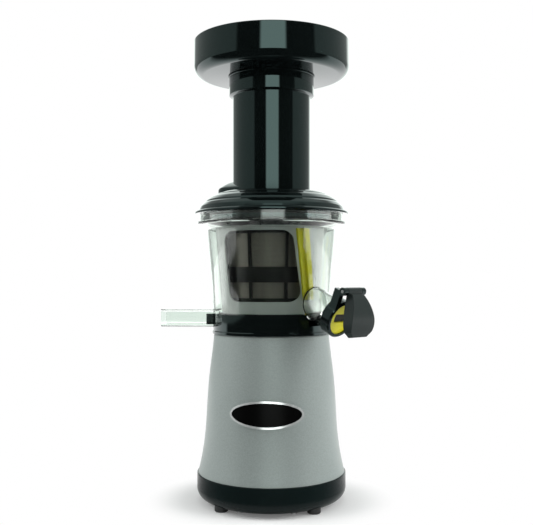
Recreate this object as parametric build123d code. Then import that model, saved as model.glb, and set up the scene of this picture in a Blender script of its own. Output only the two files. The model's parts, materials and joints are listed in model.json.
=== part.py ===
"""Vertical cold press juicer, as an assembly of separate sub-parts.

Millimetres, +Z up. The origin is on the drive axis, on the surface that the juicer stands on.
The front is -Y, the juice spout points to -X and the pulp outlet leaves at the front right.
"""

from math import atan2, cos, degrees, pi, radians, sin, sqrt, tan
import os

from build123d import *

# ---------------------------------------------------------------- clearances
RUN = 0.05  # radial running fit of a shaft in its bush
SEAT = 0.10  # gap around a piece that is seated in another
FREE = 0.80  # gap between pieces that turn past each other
FACE = 0.50  # axial gap beside a turning piece
SILICONE_NIP = 0.30  # gap left between a soft lip and the wall it wipes

# ---------------------------------------------------------------- base
FOOT_R = 5.6
FOOT_HEIGHT = 3.0
FOOT_SOCKET = 3.0  # how far a foot reaches up into the skirt
FOOT_STEM_R = 2.6
FOOT_X = 38.0
FOOT_Y = 45.0
SKIRT_HALF_X = 64.3
SKIRT_HALF_Y = 70.0
SKIRT_HEIGHT = 22.3
SKIRT_BOTTOM_ROUND = 9.5
SKIRT_WALL = 2.4
SKIRT_LIP = 1.2
BOTTOM_PLATE = 2.5
BOTTOM_PLATE_INSET = 10.5
BOTTOM_LEDGE_INSET = 16.0
PLATE_SCREW_X = 22.0
PLATE_SCREW_Y = 51.0
HOUSING_HEIGHT = 118.9
HOUSING_WALL = 2.5
HOUSING_BOTTOM_HALF_X = 63.2
HOUSING_TOP_R = 49.9
HOUSING_STRETCH_Y = 1.09  # depth over width at the skirt, fading to round at the deck
HOUSING_TOP_ROUND = 2.2
HOUSING_TUCK = 4.0  # how far the housing reaches down inside the skirt
# share of the height above the skirt, and of the narrowing from skirt to deck
HOUSING_FLARE = ((0.0, 0.0), (0.11, 0.22), (0.24, 0.40), (0.47, 0.55), (0.72, 0.72), (1.0, 1.0))
Z_SKIRT = FOOT_HEIGHT
Z_SEAM = Z_SKIRT + SKIRT_HEIGHT
Z_DECK = round(Z_SEAM + HOUSING_HEIGHT, 3)  # top of the housing, which the bowl stands on

# ---------------------------------------------------------------- badge
BADGE_HALF_X = 30.4
BADGE_HALF_Z = 11.2
BADGE_Z = 81.4
BADGE_RIM = 1.7
BADGE_RIM_PROUD = 1.7
BADGE_PROUD = 1.0

# ---------------------------------------------------------------- rear switch and inlet
SWITCH_Z = 62.0
SWITCH_HALF_X = 9.0
SWITCH_HALF_Z = 13.0
SWITCH_FRAME = 2.4
SWITCH_PROUD = 2.6
SWITCH_DEPTH = 14.0
SWITCH_SAG = 0.7  # how far the rear face falls away at the bezel's sides
ROCKER_AXIS = -4.0  # of the rocker's pin, from the rear face
INLET_Z = 16.6
INLET_R = 4.0
INLET_BORE_R = 3.0
INLET_FLANGE = 1.2
INLET_GRIP = 9.0
VENT_ROWS = 5
VENT_HEIGHT = 2.6
VENT_PITCH = 6.0
VENT_HALF_X = 17.0
VENT_Z = 92.0

# ---------------------------------------------------------------- motor
STATOR_R = 38.0
STATOR_BORE_R = 18.3
STATOR_HEIGHT = HOUSING_HEIGHT - 84.9  # the motor fills what the gearbox leaves of the housing
SLOT_COUNT = 12
SLOT_WIDTH = 4.0
SLOT_DEPTH = 11.0
SLOT_LIP = 2.0
SLOT_MOUTH = 1.8
WINDING_RISE = 6.0
AIR_GAP = 0.6
MOTOR_SHAFT_R = 4.0
BRACKET_Z = 22.0
BRACKET_PLATE = 3.0
BEARING_R = 8.0
BEARING_HEIGHT = 7.0
BEARING_BOSS = 3.0
PILLAR_R = 2.6
PILLAR_INSET = 4.0  # of the pillars' middles from the stator's edge
BRACKET_SLOT_HALF = 7.0
BRACKET_SLOT_WIDTH = 10.0
BRACKET_SLOT_R = 21.0
MOUNT_POST_R = 5.0
MOUNT_POST_PLACE_R = 32.0
FAN_R = 27.0
FAN_HEIGHT = 5.0
FAN_GAP = 1.0  # between the fan's blades and the windings
FAN_HUB_R = 9.0
FAN_PLATE = 1.2
FAN_BLADES = 8
CAPACITOR_R = 6.4
CAPACITOR_HEIGHT = 38.0
CAPACITOR_Y = 46.6
CAPACITOR_ROUND = 1.2
TERMINAL_R = 0.9
TERMINAL_RISE = 4.0
TERMINAL_X = 2.5
BOARD_Y = 48.0
BOARD_HALF_X = 14.0
BOARD_HALF_Y = 5.5
BOARD_RISE = 4.0
BOARD_THICKNESS = 1.6
RELAY_HALF_X = 5.0
RELAY_HALF_Y = 3.5
RELAY_HEIGHT = 7.4
TERMINAL_HALF_Y = 3.0
TERMINAL_HEIGHT = 5.4
STANDOFF_R = 1.8
STANDOFF_X = 11.0

# ---------------------------------------------------------------- gearbox
GEAR_MODULE = 0.8
PINION_TEETH = 11
WHEEL_TEETH = 49
GEAR_ADDENDUM = 0.65  # of the module, on a wheel
PINION_ADDENDUM = 1.0
DEDENDUM = 1.25
GEAR_BACKLASH = 0.24  # thinning of every tooth, at the pitch circle
WHEEL_FACE = 7.0
PINION_FACE = 8.5
COUNTER_PIN_R = 2.5
CASE_WALL = 2.5
CASE_GAP = 6.0  # from the windings to the gearbox
CASE_BOSS_R = 4.0
CASE_SCREW_DEPTH = 12.0
CASE_SCREW_LENGTH = 10.0
CASE_TOP_Z = Z_DECK - 24.2
COVER_PLATE = 3.0
TURRET_R = 13.0
SCREW_HEAD_R = 2.6
SCREW_R = 1.4
SCREW_HEAD = 1.8
HEX_SHAFT_ACROSS = 10.0  # across flats, at the auger
HEX_TOP_Z = Z_DECK + 45.8
BUSH_R = 9.0
BUSH_HEIGHT = 8.0
DRIVE_SHAFT_R = 6.0

# ---------------------------------------------------------------- bowl base
RING_R = 51.0
RING_HEIGHT = 16.8
RING_WALL = 2.2
RING_FLANGE_R = 51.6
RING_FLANGE = 2.5
COLLAR_R = 41.0
COLLAR_HEIGHT = 4.0
COLLAR_WALL = 5.0
COLLAR_LUGS = 3
BOWL_FLOOR = 3.0
SUMP_R = 28.0  # turret in the bowl floor that carries the idler gears
SUMP_TOP_Z = Z_DECK + 19.4
SEAL_R = 12.0
SEAL_HEIGHT = 6.0
HUB_BORE_R = 6.6
TUNNEL_HALF = 7.0
TUNNEL_TOP_Z = Z_DECK + 15.0
TUNNEL_WALL = 1.5
GATE_REACH = 55.5
GATE_LENGTH = 9.5
GATE_WALL = 1.4

# ---------------------------------------------------------------- clear bowl
BOWL_WALL = 2.2
BOWL_HEIGHT = 79.0
BOWL_LAP = 4.0
BOWL_SHOULDER = 0.91  # share of the bowl's height where its wall starts to flare
# share of the bowl's height and outer radius there
BOWL_WALL_POINTS = ((0.0, RING_R), (0.24, RING_R + 0.5), (0.64, 54.2), (BOWL_SHOULDER, 56.0))
RIM_R = 62.4
RIM_HEIGHT = 6.6
RIM_FLANGE_R = 64.3
RIM_FLANGE = 2.6
RIM_LUGS = 8
LUG_HALF = 3.0
LUG_DROP = 3.2  # of a rim lug's underside below the rim's top edge
LUG_HEIGHT = 1.6
LUG_REACH = 1.2  # of a rim lug in from the rim's inner face

# ---------------------------------------------------------------- juice spout
SPOUT_REACH = 94.8
SPOUT_HALF_Y = 13.0
SPOUT_BOTTOM_Z = Z_DECK + 5.5
SPOUT_HEIGHT = 15.0
SPOUT_WALL = 2.0
SPOUT_ROUND = 1.8

# ---------------------------------------------------------------- pulp outlet
PULP_ANGLE = 49.5  # round from the front towards the right
PULP_SLOPE = 23.0  # below the horizontal
PULP_ROOT_R = 51.5
PULP_ROOT_Z = Z_DECK + 25.8
PULP_TUBE_R = 13.6
PULP_TUBE_WALL = 1.8
PULP_TUBE_LENGTH = 40.0
PULP_FACE_R = 80.0  # where the collar's outer face crosses the tube's axis
CAP_R = 15.8
CAP_DEPTH = 10.0
CAP_BORE_R = 13.0
SEAL_SEAT = 1.6  # depth of the seal's face inside the collar's lip
SEAL_SLOT_HALF_X = 6.5
SEAL_SLOT_HALF_Y = 3.6
SEAL_DEPTH = 3.0
HINGE_RISE = 25.4
HINGE_LIFT = 1.2  # of the hinge axis out from the collar's face
HINGE_PIN_R = 1.3
KNUCKLE_R = 3.3
KNUCKLE_HALF = 13.0
KNUCKLE_WIDTH = 4.5
EAR_FOOT = 8.0  # how far above the tube's axis the ears start
EAR_DEPTH = 7.0
# Half widths of the flap at distances below its hinge.
FLAP_HALF_WIDTHS = ((2.6, 7.0), (8.6, 9.3), (15.4, 11.6), (21.5, 13.4), (27.5, 14.0), (32.7, 12.8))
FLAP_LENGTH = 36.6
FLAP_BOTTOM_HALF = 8.5
FLAP_DOME_R = 31.0
FLAP_CROWN = 9.5  # of the dome out from the hinge axis
FLAP_CROWN_DROP = 18.5  # of the crown below the hinge
FLAP_THICKNESS = 2.2
FLAP_RIM = 1.5
FLAP_ARM = 6.0
FLAP_PLAY = 0.4
FLAP_OPEN = 28.0  # how far the flap stands open at rest

# ---------------------------------------------------------------- brush
BRUSH_BOTTOM_R = 42.6
BRUSH_TOP_R = 48.6
BRUSH_TOP_Z = Z_DECK + 91.8
BRUSH_WALL = 1.8
BRUSH_WINDOW_BOTTOM_Z = Z_DECK + 27.6
BRUSH_WINDOW_TOP_Z = Z_DECK + 86.8
BRUSH_WINDOW_ANGLE = 75.0
BRUSH_WINDOWS = 3
BRUSH_FIRST_WINDOW = -9.3  # centre of the first window, from the front towards the right
BRUSH_BOTTOM_Z = Z_DECK + 17.4
WIPER_WIDTH = 11.0
WIPER_SLOT = 3.0
WIPER_SLOT_INSET = 4.0  # of the slot's ends from the windows' edges
WIPER_PAD = 2.2
WIPER_WEBS = (0, 1)
WINDOW_CORNER = 9.0
WINDOW_LEAN = 2.6  # shift of a window's upper edge to the left, and of its lower edge to the right
WIPER_AHEAD = 9.7  # of a wiper ahead of its web's middle, in degrees
WIPER_LEAN = 9.5

# ---------------------------------------------------------------- screen
SCREEN_BOTTOM_R = 36.6
SCREEN_TOP_R = 40.4
SCREEN_WALL = 1.0
BASKET_WALL = 1.5
BASKET_BOTTOM_Z = Z_DECK + 26.8
BASKET_FLOOR = 2.4
BASKET_BAND_Z = (Z_DECK + 43.8, Z_DECK + 56.8)
BASKET_RIM_HEIGHT = 5.0
BASKET_RIM = 2.0
BASKET_RIBS = 8
BASKET_RIB_WIDTH = 2.4
SCREEN_TOP_Z = Z_DECK + 89.8

# ---------------------------------------------------------------- brush drive
DRIVE_MODULE = 1.5
SUN_TEETH = 14
IDLER_TEETH = 12
DRIVE_FACE = 5.0
DRIVE_ADDENDUM = 0.85
DRIVE_BACKLASH = 0.36
IDLER_PIN_R = 2.4
PULP_PORT_HALF = 5.6  # half the radial width of the pulp port
PULP_PORT_SPREAD = 26.0  # half the angle that the pulp port covers
PORT_WALL = 1.3
PORT_SEAT = 2.0
IDLER_STEPS = 17  # of the sun's and ring's teeth together, between the two idlers

# ---------------------------------------------------------------- auger
AUGER_CORE_BOTTOM_R = 24.0
AUGER_CORE_TOP_R = 9.0
AUGER_TOP_Z = Z_DECK + 101.8
AUGER_NOSE_R = 5.0
AUGER_NOSE_HEIGHT = 12.0
FLIGHT_THICKNESS = 4.0
FLIGHT_TURNS = 1.6
FLIGHT_SHOULDER = 8.0  # of the level where the flight starts to narrow, below the screen's rim
FLIGHT_TOP_R = 15.0
AUGER_NECK_R = 11.0
NECK_SPIGOT_R = 7.3
AUGER_LIFT = 3.6  # of the auger's underside above the basket's floor
BLADE_MID_R = 26.0
BLADE_HALF = 14.0
BLADE_START = 3.0  # of the flight above the core's lower end, and below its upper end
RIDGES = 6
RIDGE_RISE = 16.0
RIDGE_THICKNESS = 2.0
RIDGE_PROUD = 6.0

# ---------------------------------------------------------------- lid
LID_R = 66.7
LID_FLANGE = 2.4
LID_WALL = 2.2
LID_SHOULDER_R = 57.8
LID_SHOULDER_RISE = 11.0
LID_CROWN_R = 46.0
LID_CROWN_RISE = 19.0
LID_SKIRT_DROP = 6.2
LID_SKIRT_R = 58.4
GASKET_SECTION = 1.6
DECK_BULGE_REACH = 46.7  # how far the raised deck runs out to the left
DECK_BULGE_R = 15.0
DECK_BULGE_HEIGHT = 10.0
DECK_BULGE_ROUND = 7.0
DECK_STEP = 2.0
DECK_EDGE = 0.8
HUB_R = 8.0
HUB_BRIDGE = 9.0

# ---------------------------------------------------------------- feed tube and hopper
TUBE_R = 33.6
TUBE_WALL = 2.4
TUBE_LENGTH = 84.0  # from the lid's crown to the socket
SOCKET_R = 36.8
SOCKET_HEIGHT = 15.2
SOCKET_STEP = 2.6
SPIGOT_DEPTH = 11.0
SPIGOT_WALL = 2.0
COLLAR_LIP_R = 37.6
COLLAR_LIP = 1.4
NECK_R = 36.4
TRAY_R = 67.3
TRAY_UNDERSIDE_RISE = 1.6  # of the tray's underside above the collar
TRAY_HEIGHT = 30.0
TRAY_WALL = 2.4
TRAY_ROUND = 8.5
TRAY_FALL = 2.2  # of the tray's floor towards the chute

# ---------------------------------------------------------------- levels worked out from the sizes
Z_PLATE = Z_SKIRT + BOTTOM_PLATE
Z_RING_TOP = Z_DECK + RING_HEIGHT
Z_FLOOR = Z_DECK + COLLAR_HEIGHT + FACE + BOWL_FLOOR
Z_RIM = Z_RING_TOP + BOWL_HEIGHT
Z_BOWL_TOP = Z_RIM + RIM_HEIGHT
Z_LID = Z_BOWL_TOP + SEAT
Z_CROWN = Z_LID + LID_CROWN_RISE
Z_SOCKET = Z_CROWN + TUBE_LENGTH
Z_COLLAR = Z_SOCKET + SOCKET_HEIGHT
Z_TRAY = Z_COLLAR + TRAY_UNDERSIDE_RISE
Z_TOP = Z_TRAY + TRAY_HEIGHT

GEAR_CENTRES = GEAR_MODULE * (PINION_TEETH + WHEEL_TEETH) / 2
Z_STATOR = BRACKET_Z + BRACKET_PLATE + FACE + FAN_HEIGHT + FAN_GAP + WINDING_RISE
Z_CASE = Z_STATOR + STATOR_HEIGHT + WINDING_RISE + CASE_GAP
Z_CASE_FLOOR = Z_CASE + CASE_WALL
Z_STAGE_1 = Z_CASE_FLOOR + BEARING_HEIGHT - CASE_WALL + 1.0
Z_STAGE_2 = Z_STAGE_1 + PINION_FACE + 1.0

SUN_R = DRIVE_MODULE * SUN_TEETH / 2
IDLER_R = DRIVE_MODULE * IDLER_TEETH / 2
IDLER_PLACE_R = SUN_R + IDLER_R
RING_GEAR_TEETH = SUN_TEETH + 2 * IDLER_TEETH
Z_DRIVE = SUMP_TOP_Z + 0.9
Z_DRIVE_TOP = Z_DRIVE + DRIVE_FACE

BOWL_INNER_R = RING_R - RING_WALL
BOWL_LAP_R = RING_R - RING_WALL / 2
LUG_Z = Z_BOWL_TOP - LUG_DROP
LUG_INNER_R = RIM_R - BOWL_WALL - LUG_REACH
LUG_LID_R = RIM_R - BOWL_WALL - 0.4


# ---------------------------------------------------------------- small helpers
def cyl(radius, bottom, top, x=0.0, y=0.0):
    """A plain vertical cylinder between two levels."""
    return Pos(x, y, bottom) * Cylinder(radius, top - bottom, align=(Align.CENTER, Align.CENTER, Align.MIN))


def tube(outer, inner, bottom, top, x=0.0, y=0.0):
    """A vertical ring between two levels."""
    return cyl(outer, bottom, top, x, y) - cyl(inner, bottom - 1, top + 1, x, y)


def block(half_x, half_y, bottom, top, x=0.0, y=0.0):
    """An upright block between two levels, centred on x, y."""
    box = Box(2 * half_x, 2 * half_y, top - bottom, align=(Align.CENTER, Align.CENTER, Align.MIN))
    return Pos(x, y, bottom) * box


def cone(bottom_r, top_r, bottom, top):
    """A cone frustum on the drive axis."""
    solid = Cone(bottom_r, top_r, top - bottom, align=(Align.CENTER, Align.CENTER, Align.MIN))
    return Pos(0, 0, bottom) * solid


def from_front(angle):
    """The turn about Z that carries the front (-Y) round towards the right (+X) by an angle."""
    return Rot(0, 0, angle)


def place(angle, radius):
    """x and y of a point at an angle from the front towards the right."""
    return radius * sin(radians(angle)), -radius * cos(radians(angle))


def spun(points):
    """A solid of revolution about Z from (radius, height) points joined by straight lines."""
    return revolve(Plane.XZ * make_face(Polyline(*points, close=True)), Axis.Z)


def union(solids):
    """All the solids fused to one."""
    solids = list(solids)
    whole = solids[0]
    for solid in solids[1:]:
        whole += solid
    return whole


def group(solids):
    """Separate solids kept as one node."""
    return Compound(children=[solid for part in solids for solid in part.solids()])


# ---------------------------------------------------------------- gears
def gear_face(teeth, module, addendum, backlash, dedendum=DEDENDUM):
    """Outline of a spur gear: each tooth is two facets a side, thinned by the backlash."""
    pitch_r = module * teeth / 2
    root_r = pitch_r - dedendum * module
    tip_r = pitch_r + addendum * module
    pressure = radians(20)
    base_r = pitch_r * cos(pressure)

    def half_angle(radius):
        """Half the tooth's angle at a radius, on an involute through the pitch circle."""
        shift = tan(pressure) - pressure
        roll = sqrt(max(0.0, (radius / base_r) ** 2 - 1))
        involute = roll - atan2(roll, 1.0)
        return pi / (2 * teeth) - backlash / (2 * pitch_r) + shift - involute

    points = []
    for k in range(teeth):
        middle = 2 * pi * k / teeth
        foot = (root_r, half_angle(max(root_r, base_r)))
        flank = [foot, (pitch_r, half_angle(pitch_r)), (tip_r, half_angle(tip_r))]
        for radius, half in flank:
            points.append((radius * cos(middle - half), radius * sin(middle - half)))
        for radius, half in reversed(flank):
            points.append((radius * cos(middle + half), radius * sin(middle + half)))
    return make_face(Polyline(*points, close=True))


def gear(teeth, module, addendum, backlash, bottom, face_width):
    """A spur gear on the Z axis, with a tooth centred on +X."""
    outline = gear_face(teeth, module, addendum, backlash)
    return Pos(0, 0, bottom) * extrude(outline, face_width)


# ---------------------------------------------------------------- base outside
def flare(share):
    """The housing's half-width in X at a share of its height, between the listed points."""
    for (s0, n0), (s1, n1) in zip(HOUSING_FLARE, HOUSING_FLARE[1:]):
        if share <= s1:
            narrowing = n0 + (n1 - n0) * (share - s0) / (s1 - s0)
            return HOUSING_BOTTOM_HALF_X + (HOUSING_TOP_R - HOUSING_BOTTOM_HALF_X) * narrowing
    return HOUSING_TOP_R


def housing_half_depth(share):
    """The housing's half-depth in Y at a share of its height."""
    return flare(share) * (1 + (HOUSING_STRETCH_Y - 1) * (1 - share))


def housing_form(grow):
    """The housing's tapered form, grown outwards, from inside the skirt up to the deck."""
    sections = []
    for share, _ in HOUSING_FLARE:
        height = Z_SEAM + share * HOUSING_HEIGHT
        outline = Ellipse(flare(share) + grow, housing_half_depth(share) + grow)
        sections.append(Pos(0, 0, height) * outline)
    foot = Ellipse(HOUSING_BOTTOM_HALF_X + grow, HOUSING_BOTTOM_HALF_X * HOUSING_STRETCH_Y + grow)
    tuck = extrude(Pos(0, 0, Z_SEAM - HOUSING_TUCK) * foot, HOUSING_TUCK)
    return loft(sections) + tuck


def housing_y(level):
    """Distance of the housing's rear face from the drive axis at a level."""
    return housing_half_depth((level - Z_SEAM) / HOUSING_HEIGHT)


def rubber_feet():
    """Four rubber feet let into the skirt, beside the bottom plate, with stems through its pads."""
    top = Z_SKIRT + FOOT_SOCKET
    foot = cyl(FOOT_R, 0, top - SEAT) + cyl(FOOT_STEM_R, Z_SKIRT, top + SKIRT_WALL)
    foot = chamfer(foot.edges().sort_by(Axis.Z)[0], 0.8)
    clear = extrude(Pos(0, 0, Z_SKIRT) * plate_opening(SEAT), SKIRT_HEIGHT)
    return group((Pos(sx * FOOT_X, sy * FOOT_Y, 0) * foot) - clear for sx in (-1, 1) for sy in (-1, 1))


def skirt_form(inset):
    """The skirt's solid form, with its rounded bottom edge, shrunk by an inset."""
    outline = Ellipse(SKIRT_HALF_X - inset, SKIRT_HALF_Y - inset)
    form = extrude(Pos(0, 0, Z_SKIRT + inset) * outline, SKIRT_HEIGHT - inset)
    return fillet(form.edges().sort_by(Axis.Z)[0], SKIRT_BOTTOM_ROUND - inset)


def plate_opening(grow):
    """Outline of the opening that the bottom plate fills."""
    return Ellipse(SKIRT_HALF_X - BOTTOM_PLATE_INSET + grow, SKIRT_HALF_Y - BOTTOM_PLATE_INSET + grow)


def base_skirt():
    """Dark moulded skirt round the foot of the housing, with four sockets for the feet."""
    skirt = skirt_form(0)
    skirt = chamfer(skirt.edges().sort_by(Axis.Z)[-1], SKIRT_LIP / 2)
    skirt -= skirt_form(SKIRT_WALL)
    skirt -= extrude(plate_opening(0), Z_PLATE + SKIRT_WALL)
    ledge = Ellipse(HOUSING_BOTTOM_HALF_X + SEAT, HOUSING_BOTTOM_HALF_X * HOUSING_STRETCH_Y + SEAT)
    skirt -= extrude(Pos(0, 0, Z_SEAM - HOUSING_TUCK) * ledge, HOUSING_TUCK + 1)
    plate_ledge = Ellipse(SKIRT_HALF_X - SKIRT_BOTTOM_ROUND, SKIRT_HALF_Y - SKIRT_BOTTOM_ROUND)
    plate_ledge -= Ellipse(SKIRT_HALF_X - BOTTOM_LEDGE_INSET, SKIRT_HALF_Y - BOTTOM_LEDGE_INSET)
    skirt += extrude(Pos(0, 0, Z_PLATE) * plate_ledge, SKIRT_WALL)
    corners = [(sx * FOOT_X, sy * FOOT_Y) for sx in (-1, 1) for sy in (-1, 1)]
    socket_top = Z_SKIRT + FOOT_SOCKET
    pads = union(cyl(FOOT_R + 1, socket_top, socket_top + SKIRT_WALL, x, y) for x, y in corners)
    skirt += pads - extrude(plate_opening(0), Z_SEAM)
    skirt -= union(cyl(FOOT_R + SEAT, 0, socket_top, x, y) for x, y in corners)
    skirt -= union(cyl(FOOT_STEM_R + SEAT, 0, Z_SEAM, x, y) for x, y in corners)
    inlet = rear_cylinder(INLET_R + SEAT, SKIRT_HALF_Y - 12, SKIRT_HALF_Y + 4, INLET_Z)
    for sx in (-1, 1):
        for sy in (-1, 1):
            skirt -= cyl(SCREW_R, 0, Z_SEAM, sx * PLATE_SCREW_X, sy * PLATE_SCREW_Y)
    return skirt - inlet


def rear_cylinder(radius, near, far, level):
    """A cylinder that points to the rear (+Y), between two distances from the drive axis."""
    solid = Cylinder(radius, far - near, align=(Align.CENTER, Align.CENTER, Align.MIN))
    return Pos(0, near, level) * Rot(-90, 0, 0) * solid


def bottom_plate():
    """Flat bottom cover with screw holes, rows of cooling slots and seats for the motor's mounts."""
    plate = extrude(Pos(0, 0, Z_SKIRT) * plate_opening(-SEAT), BOTTOM_PLATE)
    for sx in (-1, 1):
        for sy in (-1, 1):
            plate -= cyl(SCREW_R + SEAT, 0, Z_SEAM, sx * PLATE_SCREW_X, sy * PLATE_SCREW_Y)
    for k in range(-3, 4):
        slot = extrude(Pos(0, k * VENT_PITCH, 0) * SlotOverall(2 * VENT_HALF_X, VENT_HEIGHT), Z_SEAM)
        plate -= slot
    for x, y in mount_places():
        plate += cyl(MOUNT_POST_R, Z_PLATE, Z_PLATE + 2, x, y)
    return plate


def mount_places():
    """Where the motor's four rubber mounts stand."""
    reach = MOUNT_POST_PLACE_R / sqrt(2)
    return [(sx * reach, sy * reach) for sx in (-1, 1) for sy in (-1, 1)]


def bottom_screws():
    """Four pan-head screws that hold the bottom plate, with their heads below it."""
    screw = cyl(SCREW_R, Z_SKIRT, Z_PLATE + 2.2) + cyl(SCREW_HEAD_R, Z_SKIRT - SCREW_HEAD, Z_SKIRT)
    return group(Pos(sx * PLATE_SCREW_X, sy * PLATE_SCREW_Y, 0) * screw for sx in (-1, 1) for sy in (-1, 1))


def motor_housing():
    """Tapered silver shell, open below and closed by the deck that the bowl stands on."""
    outer = housing_form(0)
    outer = fillet(outer.edges().sort_by(Axis.Z)[-1], HOUSING_TOP_ROUND)
    roof = extrude(Pos(0, 0, Z_DECK - HOUSING_WALL) * Circle(2 * HOUSING_TOP_R), HOUSING_WALL + 1)
    shell = outer - (housing_form(-HOUSING_WALL) - roof)
    shell -= cyl(TURRET_R + SEAT, Z_DECK - 5, Z_DECK + 1)
    shell -= switch_block(SWITCH_HALF_X + SEAT, SWITCH_HALF_Z + SEAT, -SWITCH_DEPTH - 10, 12)
    for k in range(VENT_ROWS):
        slot = SlotOverall(2 * VENT_HALF_X, VENT_HEIGHT)
        face = Pos(0, 0, VENT_Z + k * VENT_PITCH) * Rot(90, 0, 0) * slot
        shell -= extrude(face, -2 * HOUSING_BOTTOM_HALF_X)
    return shell


def badge_block(half_x, half_z, low, high):
    """The part of a curved plate on the housing's front that lies inside an oval."""
    oval = Pos(0, 0, BADGE_Z) * Rot(90, 0, 0) * Ellipse(half_x, half_z)
    return (housing_form(high) - housing_form(low)) & extrude(oval, 2 * HOUSING_BOTTOM_HALF_X)


def badge_bezel():
    """Bright oval rim on the front of the housing."""
    ring = badge_block(BADGE_HALF_X, BADGE_HALF_Z, SEAT, BADGE_RIM_PROUD)
    hole = Pos(0, 0, BADGE_Z) * Rot(90, 0, 0) * Ellipse(BADGE_HALF_X - BADGE_RIM, BADGE_HALF_Z - BADGE_RIM)
    return ring - extrude(hole, 2 * HOUSING_BOTTOM_HALF_X)


def badge_plate():
    """Bare black oval plate inside the bright rim."""
    inset = BADGE_RIM + SEAT
    return badge_block(BADGE_HALF_X - inset, BADGE_HALF_Z - inset, SEAT, BADGE_PROUD)


def rear_plane():
    """Plane on the housing's rear face at the switch: its normal points outwards."""
    span = SWITCH_HALF_Z
    run = housing_y(SWITCH_Z - span) - housing_y(SWITCH_Z + span)
    tilt = degrees(atan2(run, 2 * span))
    return Pos(0, housing_y(SWITCH_Z), SWITCH_Z) * Rot(-90 + tilt, 0, 0)


def switch_block(half_x, half_z, low, high):
    """A block square to the rear face at the switch, between two distances from the face."""
    box = Box(2 * half_x, 2 * half_z, high - low, align=(Align.CENTER, Align.CENTER, Align.MIN))
    return rear_plane() * Pos(0, 0, low) * box


def switch_bezel():
    """Frame of the rocker switch with its body behind, open to the outside."""
    edge = SWITCH_FRAME
    frame = switch_block(SWITCH_HALF_X + edge, SWITCH_HALF_Z + edge, SWITCH_SAG + SEAT, SWITCH_PROUD)
    body = switch_block(SWITCH_HALF_X, SWITCH_HALF_Z, -SWITCH_DEPTH, SWITCH_SAG + SEAT)
    well = switch_block(SWITCH_HALF_X - edge / 2, SWITCH_HALF_Z - edge / 2, -SWITCH_DEPTH + 3, 10)
    pin = Cylinder(HINGE_PIN_R, 2 * SWITCH_HALF_X, rotation=(0, 90, 0))
    return frame + body - well + rear_plane() * Pos(0, 0, ROCKER_AXIS) * pin


def rocker_switch():
    """Rocker button with a dished face, pivoting on the pin across the bezel."""
    half_x = SWITCH_HALF_X - SWITCH_FRAME / 2 - FACE
    half_z = SWITCH_HALF_Z - SWITCH_FRAME / 2 - FREE
    rocker = switch_block(half_x, half_z, ROCKER_AXIS - 1, SWITCH_PROUD + 1.5)
    dish_r = 4 * half_z
    dish = Cylinder(dish_r, 4 * half_x, rotation=(0, 90, 0))
    rocker -= rear_plane() * Pos(0, 0, SWITCH_PROUD + dish_r) * dish
    swing = Cylinder(half_z, 2 * half_x, rotation=(0, 90, 0))
    rocker &= rear_plane() * Pos(0, 0, ROCKER_AXIS) * swing
    hub = Cylinder(HINGE_PIN_R + 1.6, 2 * half_x, rotation=(0, 90, 0))
    rocker += rear_plane() * Pos(0, 0, ROCKER_AXIS) * hub
    bore = Cylinder(HINGE_PIN_R + RUN, 4 * half_x, rotation=(0, 90, 0))
    return rocker - rear_plane() * Pos(0, 0, ROCKER_AXIS) * bore


def cord_inlet():
    """Rubber bushing in the back of the skirt where the mains lead enters."""
    outside = SKIRT_HALF_Y
    sleeve = rear_cylinder(INLET_R, outside - INLET_GRIP, outside + 2, INLET_Z)
    sleeve += rear_cylinder(INLET_R + INLET_FLANGE, outside + 0.3, outside + 2, INLET_Z)
    sleeve += rear_cylinder(INLET_R + INLET_FLANGE, outside - INLET_GRIP, outside - INLET_GRIP / 2, INLET_Z)
    return sleeve - rear_cylinder(INLET_BORE_R, 0, outside + 20, INLET_Z)


def drive_collar():
    """Black collar on the deck with three lugs that the bowl base turns onto."""
    ring = tube(COLLAR_R, COLLAR_R - COLLAR_WALL, Z_DECK, Z_DECK + COLLAR_HEIGHT)
    lug = block(4.0, 2.2, Z_DECK, Z_DECK + COLLAR_HEIGHT / 2, 0, COLLAR_R + 1)
    for k in range(COLLAR_LUGS):
        ring += Rot(0, 0, 360 * k / COLLAR_LUGS) * lug
    return ring


# ---------------------------------------------------------------- motor
def motor_mounts():
    """Four rubber posts that carry the motor on the bottom plate."""
    return group(cyl(MOUNT_POST_R, Z_PLATE + 2, BRACKET_Z, x, y) for x, y in mount_places())


def motor_bracket():
    """Aluminium end bracket below the motor, with the lower bearing and pillars to the stator."""
    plate = cyl(STATOR_R, BRACKET_Z, BRACKET_Z + BRACKET_PLATE)
    for k in range(4):
        slot = block(BRACKET_SLOT_HALF, BRACKET_SLOT_WIDTH / 2, 0, Z_DECK, BRACKET_SLOT_R, 0)
        plate -= Rot(0, 0, 45 + 90 * k) * slot
    plate = union([plate] + [cyl(MOUNT_POST_R, BRACKET_Z, BRACKET_Z + BRACKET_PLATE, x, y)
                             for x, y in mount_places()])
    bearing_bottom = BRACKET_Z - BEARING_HEIGHT + BRACKET_PLATE
    plate += cyl(BEARING_R + BEARING_BOSS, bearing_bottom, BRACKET_Z + BRACKET_PLATE)
    plate += motor_pillars(BRACKET_Z, Z_STATOR)
    return plate - cyl(BEARING_R, bearing_bottom - 1, Z_STATOR)


def motor_pillars(bottom, top):
    """Four pillars at the stator's edge, between two levels."""
    return union(cyl(PILLAR_R, bottom, top, *place(90 * k, STATOR_R - PILLAR_INSET)) for k in range(4))


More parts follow.
